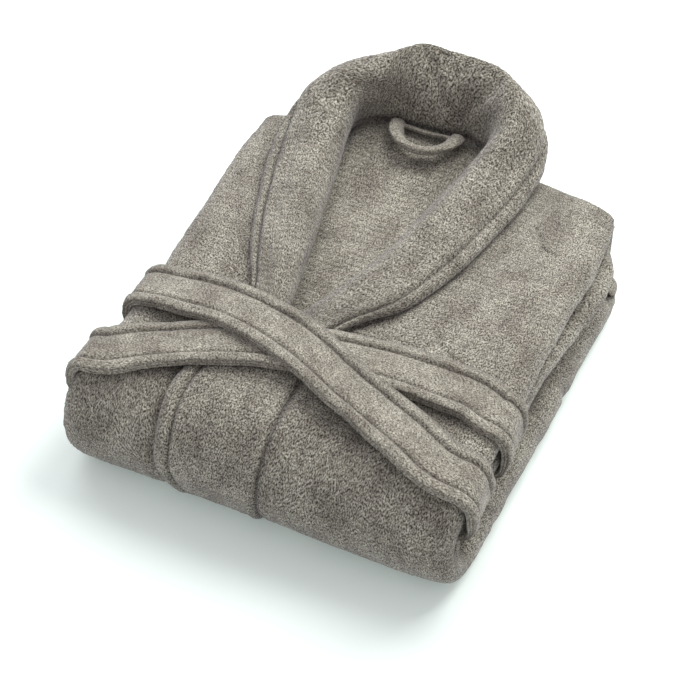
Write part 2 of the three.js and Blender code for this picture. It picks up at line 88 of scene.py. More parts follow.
panel_low, panel_high = placed("front_panel_left", "front_panel_right")
skirt_low, skirt_high = placed("skirt_front_left", "skirt_front_right")
band_low, band_high = placed("front_band_right")
HALF_GAP = 0.15  # half of what the CAD leaves between pieces that touch
CHEST_LEFT, CHEST_RIGHT = panel_low[0], panel_high[0]
SKIRT_LEFT, SKIRT_RIGHT = skirt_low[0], skirt_high[0]
BAND_LEFT, BAND_RIGHT = band_low[0], band_high[0]
STACK = band_high[2]  # the outer band's face above the table
CHEST_TOP = panel_high[2]
SHOULDER_BACK = panel_high[1]
SKIRT_BACK = skirt_high[1]
HINGE = placed("front_band_left")[0][2] - HALF_GAP  # the height of the waist fold's outermost line
UPPER_DEPTH, LOWER_DEPTH = 65, 45  # how far the waist fold's two curves run in
FRONT = -WAIST_REACH
CORNER, SKIRT_CORNER = 42, 24  # plan radius of the back corners of the chest and of the skirt
FINE, COARSE = 2.3, 9.0  # grid steps on what shows and on what is covered


# Curves

def catmull(points, places):
    """The smooth curve through points, along their first axis, at places counted in points.
    Tangents allow for uneven spacing, so a short span beside a long one doesn't overshoot."""
    p = np.asarray(points, float)
    spans = np.linalg.norm(np.diff(p, axis=0), axis=-1)
    spans = np.maximum(spans.reshape(len(spans), -1).mean(1), 1e-6)
    shape = (-1, *[1] * (p.ndim - 1))
    slopes = np.diff(p, axis=0) / spans.reshape(shape)
    before, after = spans[:-1].reshape(shape), spans[1:].reshape(shape)
    inner = (slopes[:-1] * after + slopes[1:] * before) / (before + after)
    tangents = np.concatenate([slopes[:1], inner, slopes[-1:]])
    i = np.clip(np.floor(places).astype(int), 0, len(p) - 2)
    f = (places - i).reshape(shape)
    h = spans[i].reshape(shape)
    return ((2 * f**3 - 3 * f**2 + 1) * p[i] + (f**3 - 2 * f**2 + f) * h * tangents[i]
            + (3 * f**2 - 2 * f**3) * p[i + 1] + (f**3 - f**2) * h * tangents[i + 1])


SAMPLES = 30  # looks at a curve between two of its points, to measure its length


def evenly(points, step, coarse_from=None, coarse_step=COARSE):
    """Places along the curve through points, about step apart, and wider past coarse_from."""
    dense = np.linspace(0, len(points) - 1, SAMPLES * (len(points) - 1) + 1)
    moves = np.linalg.norm(np.diff(catmull(points, dense), axis=0), axis=-1)
    moves = moves.reshape(len(moves), -1).mean(1) / step
    if coarse_from is not None:
        moves[dense[1:] > coarse_from] *= step / coarse_step
    total = np.r_[0, moves.cumsum()]
    count = max(3, int(round(total[-1])) + 1)
    return np.interp(np.linspace(0, total[-1], count), total, dense)


def ease(value, low, high):
    """0 below low, 1 above high, and a smooth step between."""
    t = np.clip((value - low) / (high - low), 0, 1)
    return t * t * (3 - 2 * t)


PRIMES = (73856093, 19349663, 83492791)  # they mix a lattice cell's numbers into one


def noise(points, size, seed=0):
    """Smooth noise between -1 and 1 with lumps of about that size; size may differ by axis."""
    q = np.asarray(points, float) / size + 37.7 * seed
    base = np.floor(q).astype(np.int64)
    f = q - base
    f = f * f * (3 - 2 * f)
    total = np.zeros(q.shape[:-1])
    for corner in itertools.product((0, 1), repeat=q.shape[-1]):
        cell = base + np.array(corner)
        mixed = np.full(q.shape[:-1], seed * 7919 + 17, np.int64)
        for axis, prime in zip(range(q.shape[-1]), PRIMES):
            mixed = (mixed ^ (cell[..., axis] * prime)) * 1103515245 + 12345
            mixed ^= (mixed >> 15) & 0x1FFFF
        value = ((mixed >> 7) & 0xFFFF) / 32767.5 - 1
        weight = np.prod(np.where(np.array(corner) == 1, f, 1 - f), axis=-1)
        total += weight * value
    return total


def unit(vectors):
    """The vectors with a length of 1."""
    return vectors / np.maximum(np.linalg.norm(vectors, axis=-1, keepdims=True), 1e-9)


def groove(across, middle, width):
    """1 at the middle of a groove or ridge, fading to 0 over about its width."""
    return np.exp(-(((across - middle) / (0.5 * width)) ** 2))


def near_line(points, line):
    """The distance from points, in plan, to a smooth line through a few points."""
    line = np.asarray(line, float)
    dense = catmull(line, np.linspace(0, len(line) - 1, 12 * len(line)))
    plan = points[..., :2].reshape(-1, 2)
    gap = np.full(len(plan), np.inf)
    for a, b in zip(dense, dense[1:]):
        t = np.clip(((plan - a) @ (b - a)) / ((b - a) @ (b - a)), 0, 1)
        gap = np.minimum(gap, np.linalg.norm(plan - a - t[:, None] * (b - a), axis=1))
    return gap.reshape(points.shape[:-1])


# Meshes

def grid_normals(grid, out):
    """The way that a grid's surface faces at each point, turned over where out is -1."""
    along = np.gradient(grid, axis=0)
    across = np.gradient(grid, axis=1)
    return unit(out * np.cross(along, across))


def lengths(grid, axis):
    """Arc length along one axis of the grid, the same for every line of it."""
    steps = np.linalg.norm(np.diff(grid, axis=axis), axis=-1).mean(1 - axis)
    return np.r_[0, steps.cumsum()]


def add_mesh(name, points, faces, cloth, material, dark):
    """A mesh object from millimetre points. cloth is where each lies on the flat cloth, in mm,
    and dark is painted shade: how much light a stitched crease, a pressed crease or a meeting of pieces
    keeps out, from 0 to 1."""
    mesh = bpy.data.meshes.new(name)
    places = ((np.asarray(points) + SHIFT) * MM).tolist()
    mesh.from_pydata(places, [], [list(map(int, face)) for face in faces])
    attribute = mesh.attributes.new("cloth", "FLOAT_VECTOR", "POINT")
    attribute.data.foreach_set("vector", (np.asarray(cloth) * MM).astype(np.float32).ravel())
    # dark: painted shade, which the material darkens the pile by
    attribute = mesh.attributes.new("dark", "FLOAT", "POINT")
    attribute.data.foreach_set("value", np.clip(dark, 0, 1).astype(np.float32))
    shape = bmesh.new()
    shape.from_mesh(mesh)
    bmesh.ops.recalc_face_normals(shape, faces=shape.faces)
    shape.to_mesh(mesh)
    shape.free()
    mesh.polygons.foreach_set("use_smooth", [True] * len(mesh.polygons))
    mesh.materials.append(material)
    obj = bpy.data.objects.new(name, mesh)
    bpy.context.scene.collection.objects.link(obj)
    return obj


INNER_FACE = (0, 0, 9)  # the inner face takes its grain from another layer of the pattern


def border(rows, columns):
    """Grid places round the edge, in order."""
    return ([(0, j) for j in range(columns - 1)] + [(i, columns - 1) for i in range(rows - 1)]
            + [(rows - 1, j) for j in range(columns - 1, 0, -1)]
            + [(i, 0) for i in range(rows - 1, 0, -1)])


def rim_rings(outer, inner, normals, thick, cloth, edge, count):
    """Half-round rings that close the cloth's edge from outer to inner: their points, and where
    each lies on the flat cloth."""
    rows, columns = thick.shape
    i, j = edge[:, 0], edge[:, 1]
    step_i = (i == rows - 1).astype(int) - (i == 0)
    step_j = (j == columns - 1).astype(int) - (j == 0)
    away = outer[i, j] - outer[i - step_i, j - step_j]
    n = normals[i, j]
    away = unit(away - n * np.sum(away * n, axis=1, keepdims=True))
    radius = thick[i, j][:, None] / 2
    middle = (outer[i, j] + inner[i, j]) / 2
    points, places = [], []
    for k in range(1, count):
        angle = math.pi * k / count
        points.append(middle + n * radius * math.cos(angle) + away * radius * math.sin(angle))
        reach = radius[:, 0] * angle
        places.append(cloth[i, j] + np.stack([step_j * reach, step_i * reach, 0 * reach], 1))
    return points, places


def shell(name, outer, thickness, material, out=1, rim=5, pile=0.22, seed=1, dark=0):
    """A closed cloth body: outer is its grid of outside points, with the cloth inwards of it."""
    rows, columns = outer.shape[:2]
    size = rows * columns
    normals = grid_normals(outer, out)
    tufts = np.random.default_rng(seed).normal(0, pile, (rows, columns))
    outer = outer + normals * np.clip(tufts, -2 * pile, 2 * pile)[..., None]
    thick = np.broadcast_to(np.asarray(thickness, float), (rows, columns))
    inner = outer - normals * thick[..., None]
    cloth = np.zeros((rows, columns, 3))
    cloth[..., 0] = lengths(outer, 1)[None, :]
    cloth[..., 1] = lengths(outer, 0)[:, None]

    edge = np.array(border(rows, columns))
    rim_points, rim_places = rim_rings(outer, inner, normals, thick, cloth, edge, rim)
    points = np.concatenate([outer.reshape(-1, 3), inner.reshape(-1, 3), *rim_points])
    points[:, 2] = np.maximum(points[:, 2], 0)  # nothing lies below the table
    places = [cloth.reshape(-1, 3), cloth.reshape(-1, 3) + INNER_FACE, *rim_places]

    grid = np.arange(size).reshape(rows, columns)
    quads = np.stack([grid[:-1, :-1], grid[1:, :-1], grid[1:, 1:], grid[:-1, 1:]], -1).reshape(-1, 4)
    faces = [quads, quads[:, ::-1] + size]
    on_edge = grid[edge[:, 0], edge[:, 1]]
    between = [2 * size + k * len(edge) + np.arange(len(edge)) for k in range(rim - 1)]
    rings = [on_edge, *between, on_edge + size]
    for a, b in zip(rings, rings[1:]):
        faces.append(np.stack([a, np.roll(a, -1), np.roll(b, -1), b], 1))
    shade = np.zeros(len(points))
    shade[:size] = np.broadcast_to(dark, (rows, columns)).ravel()
    return add_mesh(name, points, np.concatenate(faces), np.concatenate(places), material, shade)


def tube(name, rings, material, dark=0):
    """A closed body through rings of equal length, with a flat face on each end."""
    rows, sides = rings.shape[:2]
    grid = np.arange(rows * sides).reshape(rows, sides)
    turned = np.roll(grid, -1, axis=1)
    quads = np.stack([grid[:-1], turned[:-1], turned[1:], grid[1:]], -1).reshape(-1, 4)
    faces = quads.tolist() + [grid[0][::-1].tolist(), grid[-1].tolist()]
    around = np.linalg.norm(np.roll(rings, -1, axis=1) - rings, axis=-1).mean(0).cumsum()
    along = lengths(rings, 0)
    places = np.zeros((rows, sides, 3))
    places[..., 0] = around[None, :]
    places[..., 1] = along[:, None]
    shade = np.broadcast_to(dark, (rows, sides)).ravel()
    return add_mesh(name, rings.reshape(-1, 3), faces, places.reshape(-1, 3), material, shade)


# Materials

def node(tree, kind, inputs=(), **settings):
    """A shader node with its settings, and its inputs given as {name: value or output}."""
    made = tree.nodes.new(kind)
    for key, value in settings.items():
        setattr(made, key, value)
    for key, value in dict(inputs).items():
        if isinstance(value, bpy.types.NodeSocket):
            tree.links.new(value, made.inputs[key])
        else:
            made.inputs[key].default_value = value
    return made


def ramp(tree, source, stops):
    """A colour ramp with its stops given as (place, colour)."""
    made = node(tree, "ShaderNodeValToRGB", {"Fac": source})
    elements = made.color_ramp.elements
    while len(elements) < len(stops):
        elements.new(0.5)
    for element, (place, colour) in zip(elements, stops):
        element.position = place
        element.color = (*colour, 1)
    return made.outputs["Color"]


def maths(tree, operation, a, b):
    """One sum of two numbers or outputs."""
    return node(tree, "ShaderNodeMath", {0: a, 1: b}, operation=operation).outputs[0]


PILE_SHADES = ((0.075, 0.060, 0.052), (0.352, 0.325, 0.278), (0.67, 0.650, 0.575))
FLECK_SPREAD = 0.13  # the dark and the light flecks lie this far from the middle of the noise
PILE_HEIGHT = 0.0012  # metres
ROW_PITCH = 2.0  # millimetres between rows of loops


def terry_colour(tree, patterns, painted_shade, tint, contrast, row_depth):
    """The pile's colour: flecks of three shades, darkened in hollows and rows, lighter and darker in
    strokes and patches of brushed and crushed pile, partly painted sheen, and darkened by painted shade
    in creases and seams.
    """
    spread = FLECK_SPREAD / contrast
    flecks = ramp(tree, patterns["grains"], [
        (place, tuple(channel * tint for channel in shade))
        for place, shade in zip((0.5 - spread, 0.5 - spread * 0.1, 0.5 + spread), PILE_SHADES)])
    hollow = ramp(tree, patterns["tufts"], [(0.25, (1, 1, 1)), (0.85, (0.50, 0.47, 0.45))])
    # brushed pile, partly real and partly painted sheen: lighter and darker streaks
    brushed_pile_sheen = ramp(tree, patterns["strokes"], [(0.32, (0.56, 0.54, 0.54)), (0.60, (1.14, 1.14, 1.13))])
    # crushed pile, partly real and partly painted sheen: lighter and darker patches
    crushed_pile_sheen = ramp(tree, patterns["patches"], [(0.36, (0.58, 0.56, 0.55)), (0.62, (1.16, 1.18, 1.17))])
    lines = ramp(tree, patterns["rows"], [(0.05, (0.60, 0.58, 0.57)), (0.45, (1.06, 1.06, 1.06))])
    # painted shade: the dark attribute darkens the pile in creases, seams and where pieces meet
    folds = ramp(tree, painted_shade, [(0.0, (1, 1, 1)), (1.0, (0.13, 0.115, 0.11))])
    colour = flecks
    for layer_colour, amount in ((hollow, 0.8), (brushed_pile_sheen, 0.5), (crushed_pile_sheen, 0.65),
                                 (lines, row_depth), (folds, 1.0)):
        mix = node(tree, "ShaderNodeMix", data_type="RGBA", blend_type="MULTIPLY")
        mix.inputs["Factor"].default_value = amount
        tree.links.new(colour, mix.inputs[6])
        tree.links.new(layer_colour, mix.inputs[7])
        colour = mix.outputs[2]
    return colour


def terry_patterns(tree, place, grain):
    """Tufts, the grains between them, strokes of brushed pile, patches of crushed pile and rows of loops;
    the strokes and patches also carry painted sheen in the colour.
    """
    def speckle(scale, detail, roughness, stretch, turn):
        """Noise drawn out across a turned direction."""
        turned = node(tree, "ShaderNodeMapping", {
            "Vector": place, "Scale": stretch, "Rotation": (0, 0, turn)})
        return node(tree, "ShaderNodeTexNoise", {
            "Vector": turned.outputs[0], "Scale": scale, "Detail": detail, "Roughness": roughness,
        }).outputs["Fac"]

    tufts = node(tree, "ShaderNodeTexVoronoi", {"Vector": place, "Scale": grain})
    rows = node(tree, "ShaderNodeTexWave", {
        "Vector": place, "Scale": 1000 / ROW_PITCH / (2 * math.pi) * 0.5, "Distortion": 4.0,
        "Detail": 2.0, "Detail Scale": 2.5,
    }, wave_type="BANDS", bands_direction="Y")
    return {
        "tufts": tufts.outputs["Distance"],
        "grains": speckle(grain * 0.72, 2.5, 0.65, (1.0, 0.6, 1.0), 0.5),
        "strokes": speckle(210, 2.0, 0.6, (1.0, 0.3, 1.0), 0.9),
        "patches": speckle(34, 3.0, 0.6, (1.0, 0.6, 1.0), 0.6),
        "rows": rows.outputs["Fac"],
    }


def terry(name, tint=1.0, grain=1100, contrast=1.0, row_depth=0.3, bump=0.9):
    """Terry cloth, with that many tufts to a metre and rows that show by row_depth."""
    material = bpy.data.materials.new(name)
    material.use_nodes = True
    tree = material.node_tree
    tree.nodes.clear()
    place = node(tree, "ShaderNodeAttribute", attribute_name="cloth").outputs["Vector"]
    # the dark attribute: painted shade, made uneven by the strokes below
    painted_shade = node(tree, "ShaderNodeAttribute", attribute_name="dark").outputs["Fac"]
    patterns = terry_patterns(tree, place, grain)
    uneven = node(tree, "ShaderNodeMapRange", {
        "Value": patterns["strokes"], "From Min": 0.3, "From Max": 0.7, "To Min": 0.45, "To Max": 1.0})
    painted_shade = maths(tree, "MULTIPLY", painted_shade, uneven.outputs[0])

    height = maths(tree, "SUBTRACT", patterns["grains"], maths(tree, "MULTIPLY", patterns["tufts"], 0.55))
    height = maths(tree, "ADD", height, maths(tree, "MULTIPLY", patterns["rows"], row_depth))
    height = maths(tree, "ADD", height, maths(tree, "MULTIPLY", patterns["strokes"], 0.8))
    relief = node(tree, "ShaderNodeBump", {
        "Strength": bump, "Distance": PILE_HEIGHT, "Height": height})
    shader = node(tree, "ShaderNodeBsdfPrincipled", {
        "Base Color": terry_colour(tree, patterns, painted_shade, tint, contrast, row_depth),
        "Roughness": 0.95, "Normal": relief.outputs[0], "Specular IOR Level": 0.1,
        "Sheen Weight": 0.36, "Sheen Roughness": 0.35, "Sheen Tint": (0.91, 0.86, 0.97, 1),
    })
    output = node(tree, "ShaderNodeOutputMaterial")
    tree.links.new(shader.outputs[0], output.inputs["Surface"])
    return material


VELOUR_SLOT, TERRY_SLOT = "velour_taupe", "loop_terry_taupe"  # the record's material slots
VELOUR = terry("taupe_velour", contrast=1.15)
COLLAR_TERRY = terry("taupe_collar", tint=0.94, grain=980, contrast=1.1, row_depth=0.4)
STRAP_TERRY = terry("taupe_strap", tint=1.13, grain=1250, contrast=0.8, row_depth=0.25, bump=0.8)
LOOP_TERRY = terry("taupe_loops", tint=1.04, grain=1050, row_depth=0.4)


# Cloth round the waist fold

UPPER_ARC, LOWER_ARC = 100, 78  # rough lengths of the waist fold's two curves
TURN_IN = 14  # how far the skirt's cloth runs on past its roll at the back
SHOULDER_UNDER = 48  # degrees that the shoulder's roll runs on under the chest
SHARE_SPAN = (24, 28)  # the chest turns into the skirt over this much cloth, before and past the bend


def waist_path(top_end, bottom_end, step=FINE, shoulder=0, back_roll=0):
    """The bundle's outer line in the y-z plane: back over the chest's top, round the waist fold
    and back under the skirt. shoulder and back_roll are the radii of a roll at either end.
    Rows of (y, z, inward y, inward z, share of the skirt, how far the side turns may reach)."""
    parts = []
    bend_upper, bend_lower = FRONT + UPPER_DEPTH, FRONT + LOWER_DEPTH
    if shoulder:
        turn = np.radians(np.arange(-SHOULDER_UNDER, 90, math.degrees(step / shoulder)))
        parts.append(np.stack([top_end - shoulder + shoulder * np.cos(turn),
                               STACK - shoulder + shoulder * np.sin(turn)], 1))
    y = np.arange(top_end - shoulder, bend_upper, -step)
    parts.append(np.stack([y, np.full(len(y), STACK)], 1))
    turn = np.radians(np.arange(90, 0, -90 * step / UPPER_ARC))
    parts.append(np.stack([bend_upper - UPPER_DEPTH * np.cos(turn),
                           HINGE + (STACK - HINGE) * np.sin(turn)], 1))
    turn = np.radians(np.arange(0, -90, -90 * step / LOWER_ARC))
    parts.append(np.stack([bend_lower - LOWER_DEPTH * np.cos(turn),
                           HINGE + HINGE * np.sin(turn)], 1))
    flat_end = bottom_end - back_roll
    y = np.linspace(bend_lower, flat_end, int((flat_end - bend_lower) / COARSE))
    parts.append(np.stack([y, np.zeros(len(y))], 1))
    if back_roll:
        turn = np.radians(np.arange(-88, 90, math.degrees(step / back_roll)))
        parts.append(np.stack([flat_end + back_roll * np.cos(turn),
                               back_roll + back_roll * np.sin(turn)], 1))
        y = np.arange(flat_end, flat_end - TURN_IN, -step)
        parts.append(np.stack([y, np.full(len(y), 2.0 * back_roll)], 1))
    line = np.concatenate(parts)
    along = unit(np.gradient(line, axis=0))
    at = np.r_[0, np.linalg.norm(np.diff(line, axis=0), axis=1).cumsum()]
    bend_at = at[np.argmin(line[:, 0])]
    share = ease(at, bend_at - SHARE_SPAN[0], bend_at + SHARE_SPAN[1])
    reach = np.ones(len(line))
    if shoulder:
        reach *= 0.26 + 0.74 * ease(at, 1.6 * shoulder, 3.6 * shoulder)
    if back_roll:
        reach *= 0.4 + 0.6 * ease(at[-1] - at, TURN_IN + 2.2 * back_roll, TURN_IN + 5.0 * back_roll)
        reach *= 1 - 0.27 * ease(at, bend_at - 20, bend_at + 20) * (
            1 - ease(at, bend_at + 80, bend_at + 130))
    return np.column_stack([line, -along[:, 1], along[:, 0], share, reach])


def lift(path, x, depth):
    """Points of the bundle at x, that deep inside its outer line, for each row of the path."""
    y = path[:, 0, None] + path[:, 2, None] * depth
    z = path[:, 1, None] + path[:, 3, None] * depth
    return np.stack([x, y, z], -1)


def round_corners(points, left, right, backs, radius=CORNER, squareness=0.82):
    """Moves points in plan so that the two back corners of an outline become round."""
    x, y = points[..., 0].copy(), points[..., 1].copy()
    for side, wall, back in ((-1, left, backs[0]), (1, right, backs[1])):
        a = np.clip((side * x - (side * wall - radius)) / radius, 0, None)
        b = np.clip((y - (back - radius)) / radius, 0, None)
        inside = (a > 0) & (b > 0)
        a1, b1 = np.minimum(a, 1), np.minimum(b, 1)
        new_a = a1 * np.sqrt(1 - squareness * b1 * b1 / 2) + (a - a1)
        new_b = b1 * np.sqrt(1 - squareness * a1 * a1 / 2) + (b - b1)
        x = np.where(inside, side * (side * wall - radius + new_a * radius), x)
        y = np.where(inside, back - radius + new_b * radius, y)
    return np.stack([x, y, points[..., 2]], -1)


SHOULDER_ROLL = 17  # radius of the roll where the shoulders end
SKIRT_ROLL = placed("hem_third")[1][2] / 2  # and of the skirt's fold at the back

# How a front panel turns round its side fold: (inwards of the side, depth below the face).
# The chest's side shows two soft rolls with a crease between them, and the skirt's shows one.
CHEST_TURN = [(34, 0), (15, 0.8), (5, 5), (0.6, 12), (2.5, 18), (9.5, 22.5), (3, 27.5), (0, 35),
              (3, 42), (16, 46), (50, 46), (112, 46)]
SKIRT_TURN = [(34, 0), (18, 1.0), (8, 4.5), (2.6, 11), (0.2, 19), (0.2, 26), (3, 33.5), (8.5, 39.5),
              (16, 43.0), (21, 43.8), (26, 44), (31, 44)]


# How far the side folds wander inwards along the robe: (y, mm inwards of the wall).
RIGHT_CHEST_SIDE = [(-207, 15), (-150, 12), (-48, 9), (33, 6), (83, 3), (141, -2), (211, 0)]
LEFT_CHEST_SIDE = [(-207, -2), (-172, 1), (-130, 7), (-18, 9), (71, 4), (172, -2), (213, 0)]
RIGHT_SKIRT_SIDE = [(-207, 21), (-167, 19), (-108, 14), (-58, 11), (-4, 6), (117, 1), (172, -3),
                    (222, 0)]
SECOND_ROLL = 13  # the chest's second roll stands out this far at the back, right side


def wander(line, y):
    """A side fold's distance inwards of its wall, at each y."""
    line = np.array(line, float)
    places = np.interp(y, line[:, 0], np.arange(len(line)))
    return catmull(line, places)[:, 1]


def band_sway(path):
    """How far the outer band's free edge wanders sideways on its way round the waist fold."""
    y, z, share = path[:, 0], path[:, 1], path[:, 4]
    outward = groove(y, FRONT + 48, 90) * (share < 0.5) * 6
    back_in = 13 * ease(-z, -HINGE - 14, -HINGE + 42)
    return back_in - np.where(z > HINGE, outward, 6 * groove(-np.abs(z - HINGE), 0, 80) * groove(
        FRONT + 48, y, 90))


def undulation(points, seed, height=1.3):
    """The soft unevenness of folded cloth."""
    return (height * noise(points, 78, seed) + 0.45 * height * noise(points, 31, seed + 1)
            + 0.16 * height * noise(points, 11, seed + 2))


CREASES = [  # small creases pressed into the chest: a line in plan, its depth and its width
    ([(126, 172), (136, 160), (142, 148), (157, 142)], 2.6, 3.6),
    ([(88, -2), (104, -20), (127, -33), (148, -54)], 2.4, 4.0),
    ([(62, -22), (78, -40), (84, -58)], 1.0, 5),
    ([(-186, 60), (-172, 40), (-165, 12)], 0.9, 7),
    ([(-150, 205), (-168, 190), (-176, 168)], 0.9, 8),
]
SKIRT_SEAMS = ((84, 2.2), (52, 2.6), (-12, 1.7), (-118, 1.6), (-163, 1.8))  # (y, depth)
CREASE_SHADE = 0.16  # how dark a crease is, for each millimetre of its depth
SHOULDER_SLOPE = (10, 15)  # how far each shoulder slopes forward towards its side fold
OPENING_TIP, OPENING_RUN = (-38, -57), 339  # where the two fronts part, and how far back they run
OPENING_SPREAD = {1: 123, -1: -92}  # and how far each is from the tip at the back
LAPEL_OVERLAP = 10  # a front's edge lies this far in under its lapel
SEAM_GAP = 0.6  # between a front and the outer band
POCKET_ROOM = 4.5  # the skirt's underside rises this far over a patch pocket
FRONT_CLOTH, FACED_CLOTH = 8.2, 12.5  # thickness of a front, and of its faced part by the opening


def panel_walls(side, path):
    """Where a front's side fold stands, for each row of the path."""
    y, share = path[:, 0], path[:, 4]
    if side > 0:
        chest_wall = CHEST_RIGHT - wander(RIGHT_CHEST_SIDE, y)
        skirt_wall = SKIRT_RIGHT - wander(RIGHT_SKIRT_SIDE, y)
    else:
        chest_wall = CHEST_LEFT + wander(LEFT_CHEST_SIDE, y)
        skirt_wall = SKIRT_LEFT
    return chest_wall + (skirt_wall - chest_wall) * share


def panel_start(side, path):
    """Where a front's inner edge is, for each row, and how far that edge is the opening's."""
    y, share = path[:, 0], path[:, 4]
    seam = BAND_RIGHT + SEAM_GAP if side > 0 else BAND_LEFT - SEAM_GAP + band_sway(path)
    opening = OPENING_TIP[0] + (y - OPENING_TIP[1]) / OPENING_RUN * OPENING_SPREAD[side]
    opening = opening + side * LAPEL_OVERLAP
    above = ease(y, -66, -30) * (share < 0.01)
    return seam + (opening - seam) * above, above


def panel_section(side, path, wall, start):
    """A front's x and its depth, row by row from its inner edge round its side fold."""
    y, share, reach = path[:, 0], path[:, 4], path[:, 5]
    turn = np.array(CHEST_TURN)[None] + share[:, None, None] * (
        np.array(SKIRT_TURN) - np.array(CHEST_TURN))[None]
    turn[..., 1] *= reach[:, None]
    if side > 0:
        fan = SECOND_ROLL * ease(y, -40, 150) * (1 - ease(y, 176, 222)) * (1 - share)
        turn[:, 6:9, 0] -= fan[:, None] * np.array([0.8, 1, 0.8])
    x = wall[:, None] - side * turn[..., 0]
    control = np.concatenate([
        np.stack([start, 0 * start], 1)[:, None],
        np.stack([(start + x[:, 0]) / 2, 0 * start], 1)[:, None],
        np.stack([x, turn[..., 1]], -1)], axis=1).transpose(1, 0, 2)
    columns = evenly(control, FINE, coarse_from=11.0)
    return catmull(control, columns).transpose(1, 0, 2), columns


def in_pocket(side, points):
    """1 where a patch pocket lies against a front, and 0 elsewhere."""
    low, high = placed("pocket_right" if side > 0 else "pocket_left")
    return (ease(points[..., 0], low[0] - 5, low[0] - 1)
            * (1 - ease(points[..., 0], high[0] + 1, high[0] + 5))
            * ease(points[..., 1], low[1] - 5, low[1] - 1)
            * (1 - ease(points[..., 1], high[1] + 1, high[1] + 5)))


def panel_relief(side, points, share, columns, wall, from_seam, sewn):
    """How far a front's surface stands out, with its creases and seams, and how much painted shade they
    get.
    """
    over = undulation(points, 3 + side) * (1 - ease(columns, 10.5, 11.5)[None, :])
    on_top = (share < 0.02)[:, None] * (columns < 5)[None, :]
    # pressed is painted shade: darker in each pressed crease and seam, CREASE_SHADE for each millimetre
    # of its depth
    pressed = 0
    for line, depth, width in CREASES:
        mark = on_top * groove(near_line(points, line), 0, width)
        over = over - depth * mark
        pressed = pressed + CREASE_SHADE * depth * mark
    # soft gathers that turn round the ends of the waist fold
    bend = groove(share, 0.45, 1.1)[:, None]
    at_end = ease(side * points[..., 0], side * wall[:, None] - 46, side * wall[:, None] - 4)
    over = over + 1.1 * bend * at_end * noise(points, (60, 9, 9), 11)
    if side > 0:  # pressed seams across the skirt's side fold
        for seam_y, depth in SKIRT_SEAMS:
            line = groove(points[..., 1] + 0.25 * (points[..., 0] - SKIRT_RIGHT), seam_y, 6)
            line = line * (share[:, None] > 0.9) * (points[..., 2] < 40)
            over = over - 1.4 * depth * line
            pressed = pressed + CREASE_SHADE * depth * line
    over = over - 2.2 * groove(from_seam, 0, 7) * sewn
    # painted shade along the seam to the band and in the crease between the side fold's two rolls
    dark = pressed + 0.85 * groove(from_seam, 0, 5) * sewn
    return over, dark + 0.6 * groove(columns, 7.0, 1.2)[None] * (share < 0.3)[:, None]


def slope_shoulders(points, share):
    """The shoulders slope forward to their side folds, and the back corners are round."""
    x, y = points[..., 0], points[..., 1]
    chest = (share < 0.5)[:, None]
    slope = SHOULDER_SLOPE[1] * ease(x, 80, 190) + SHOULDER_SLOPE[0] * ease(-x, 110, 190)
    points[..., 1] = y - slope * ease(y, 90, SHOULDER_BACK) * chest
    shoulders = [SHOULDER_BACK - slope for slope in SHOULDER_SLOPE]
    return np.where(chest[..., None], round_corners(points, CHEST_LEFT, CHEST_RIGHT, shoulders),
                    round_corners(points, SKIRT_LEFT, SKIRT_RIGHT, [SKIRT_BACK] * 2, SKIRT_CORNER))


def front_panel(side):
    """A front of the robe, from the shoulder over the chest, round the waist fold and under."""
    path = waist_path(SHOULDER_BACK, SKIRT_BACK, shoulder=SHOULDER_ROLL, back_roll=SKIRT_ROLL)
    share, reach = path[:, 4], path[:, 5]
    wall = panel_walls(side, path)
    start, above = panel_start(side, path)
    section, columns = panel_section(side, path, wall, start)
    sewn = 1 - above[:, None]  # 1 where the inner edge is sewn to a band
    from_seam = np.abs(section[..., 0] - start[:, None])
    inset = (STACK - CHEST_TOP) * (1 - share)[:, None]
    if side > 0:  # the face rises to meet the outer band at its seam
        inset = inset * (1 - 0.9 * (1 - ease(from_seam, 0, 75)) * sewn)
    else:  # and on the other front it dips under the band's free edge
        inset = inset + 5.5 * (1 - ease(from_seam, 0, 22)) * sewn
    points = lift(path, section[..., 0], section[..., 1] + inset)
    points[..., 2] += POCKET_ROOM * in_pocket(side, points) * (points[..., 2] < 6)
    over, dark = panel_relief(side, points, share, columns, wall, from_seam, sewn)
    points = slope_shoulders(points + grid_normals(points, side) * over[..., None], share)
    by_opening = (1 - ease(columns, 1.2, 3.0))[None, :] * (1 - share)[:, None]
    thick = FRONT_CLOTH + (FACED_CLOTH - FRONT_CLOTH) * by_opening
    thick *= 0.3 + 0.7 * ease(reach, 0.25, 0.8)[:, None]
    name = "front_right" if side > 0 else "front_left"
    return shell(name, points, thick, VELOUR, out=side, seed=20 + side, dark=dark)


def waist_blend(obj):
    """Cloth that crosses the waist fold: bakes its place into its mesh."""
    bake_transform(obj)


BAND_ROLL, BAND_STITCH = 5.4, 11.3  # the rolled edge's crown and its stitches, from the edge


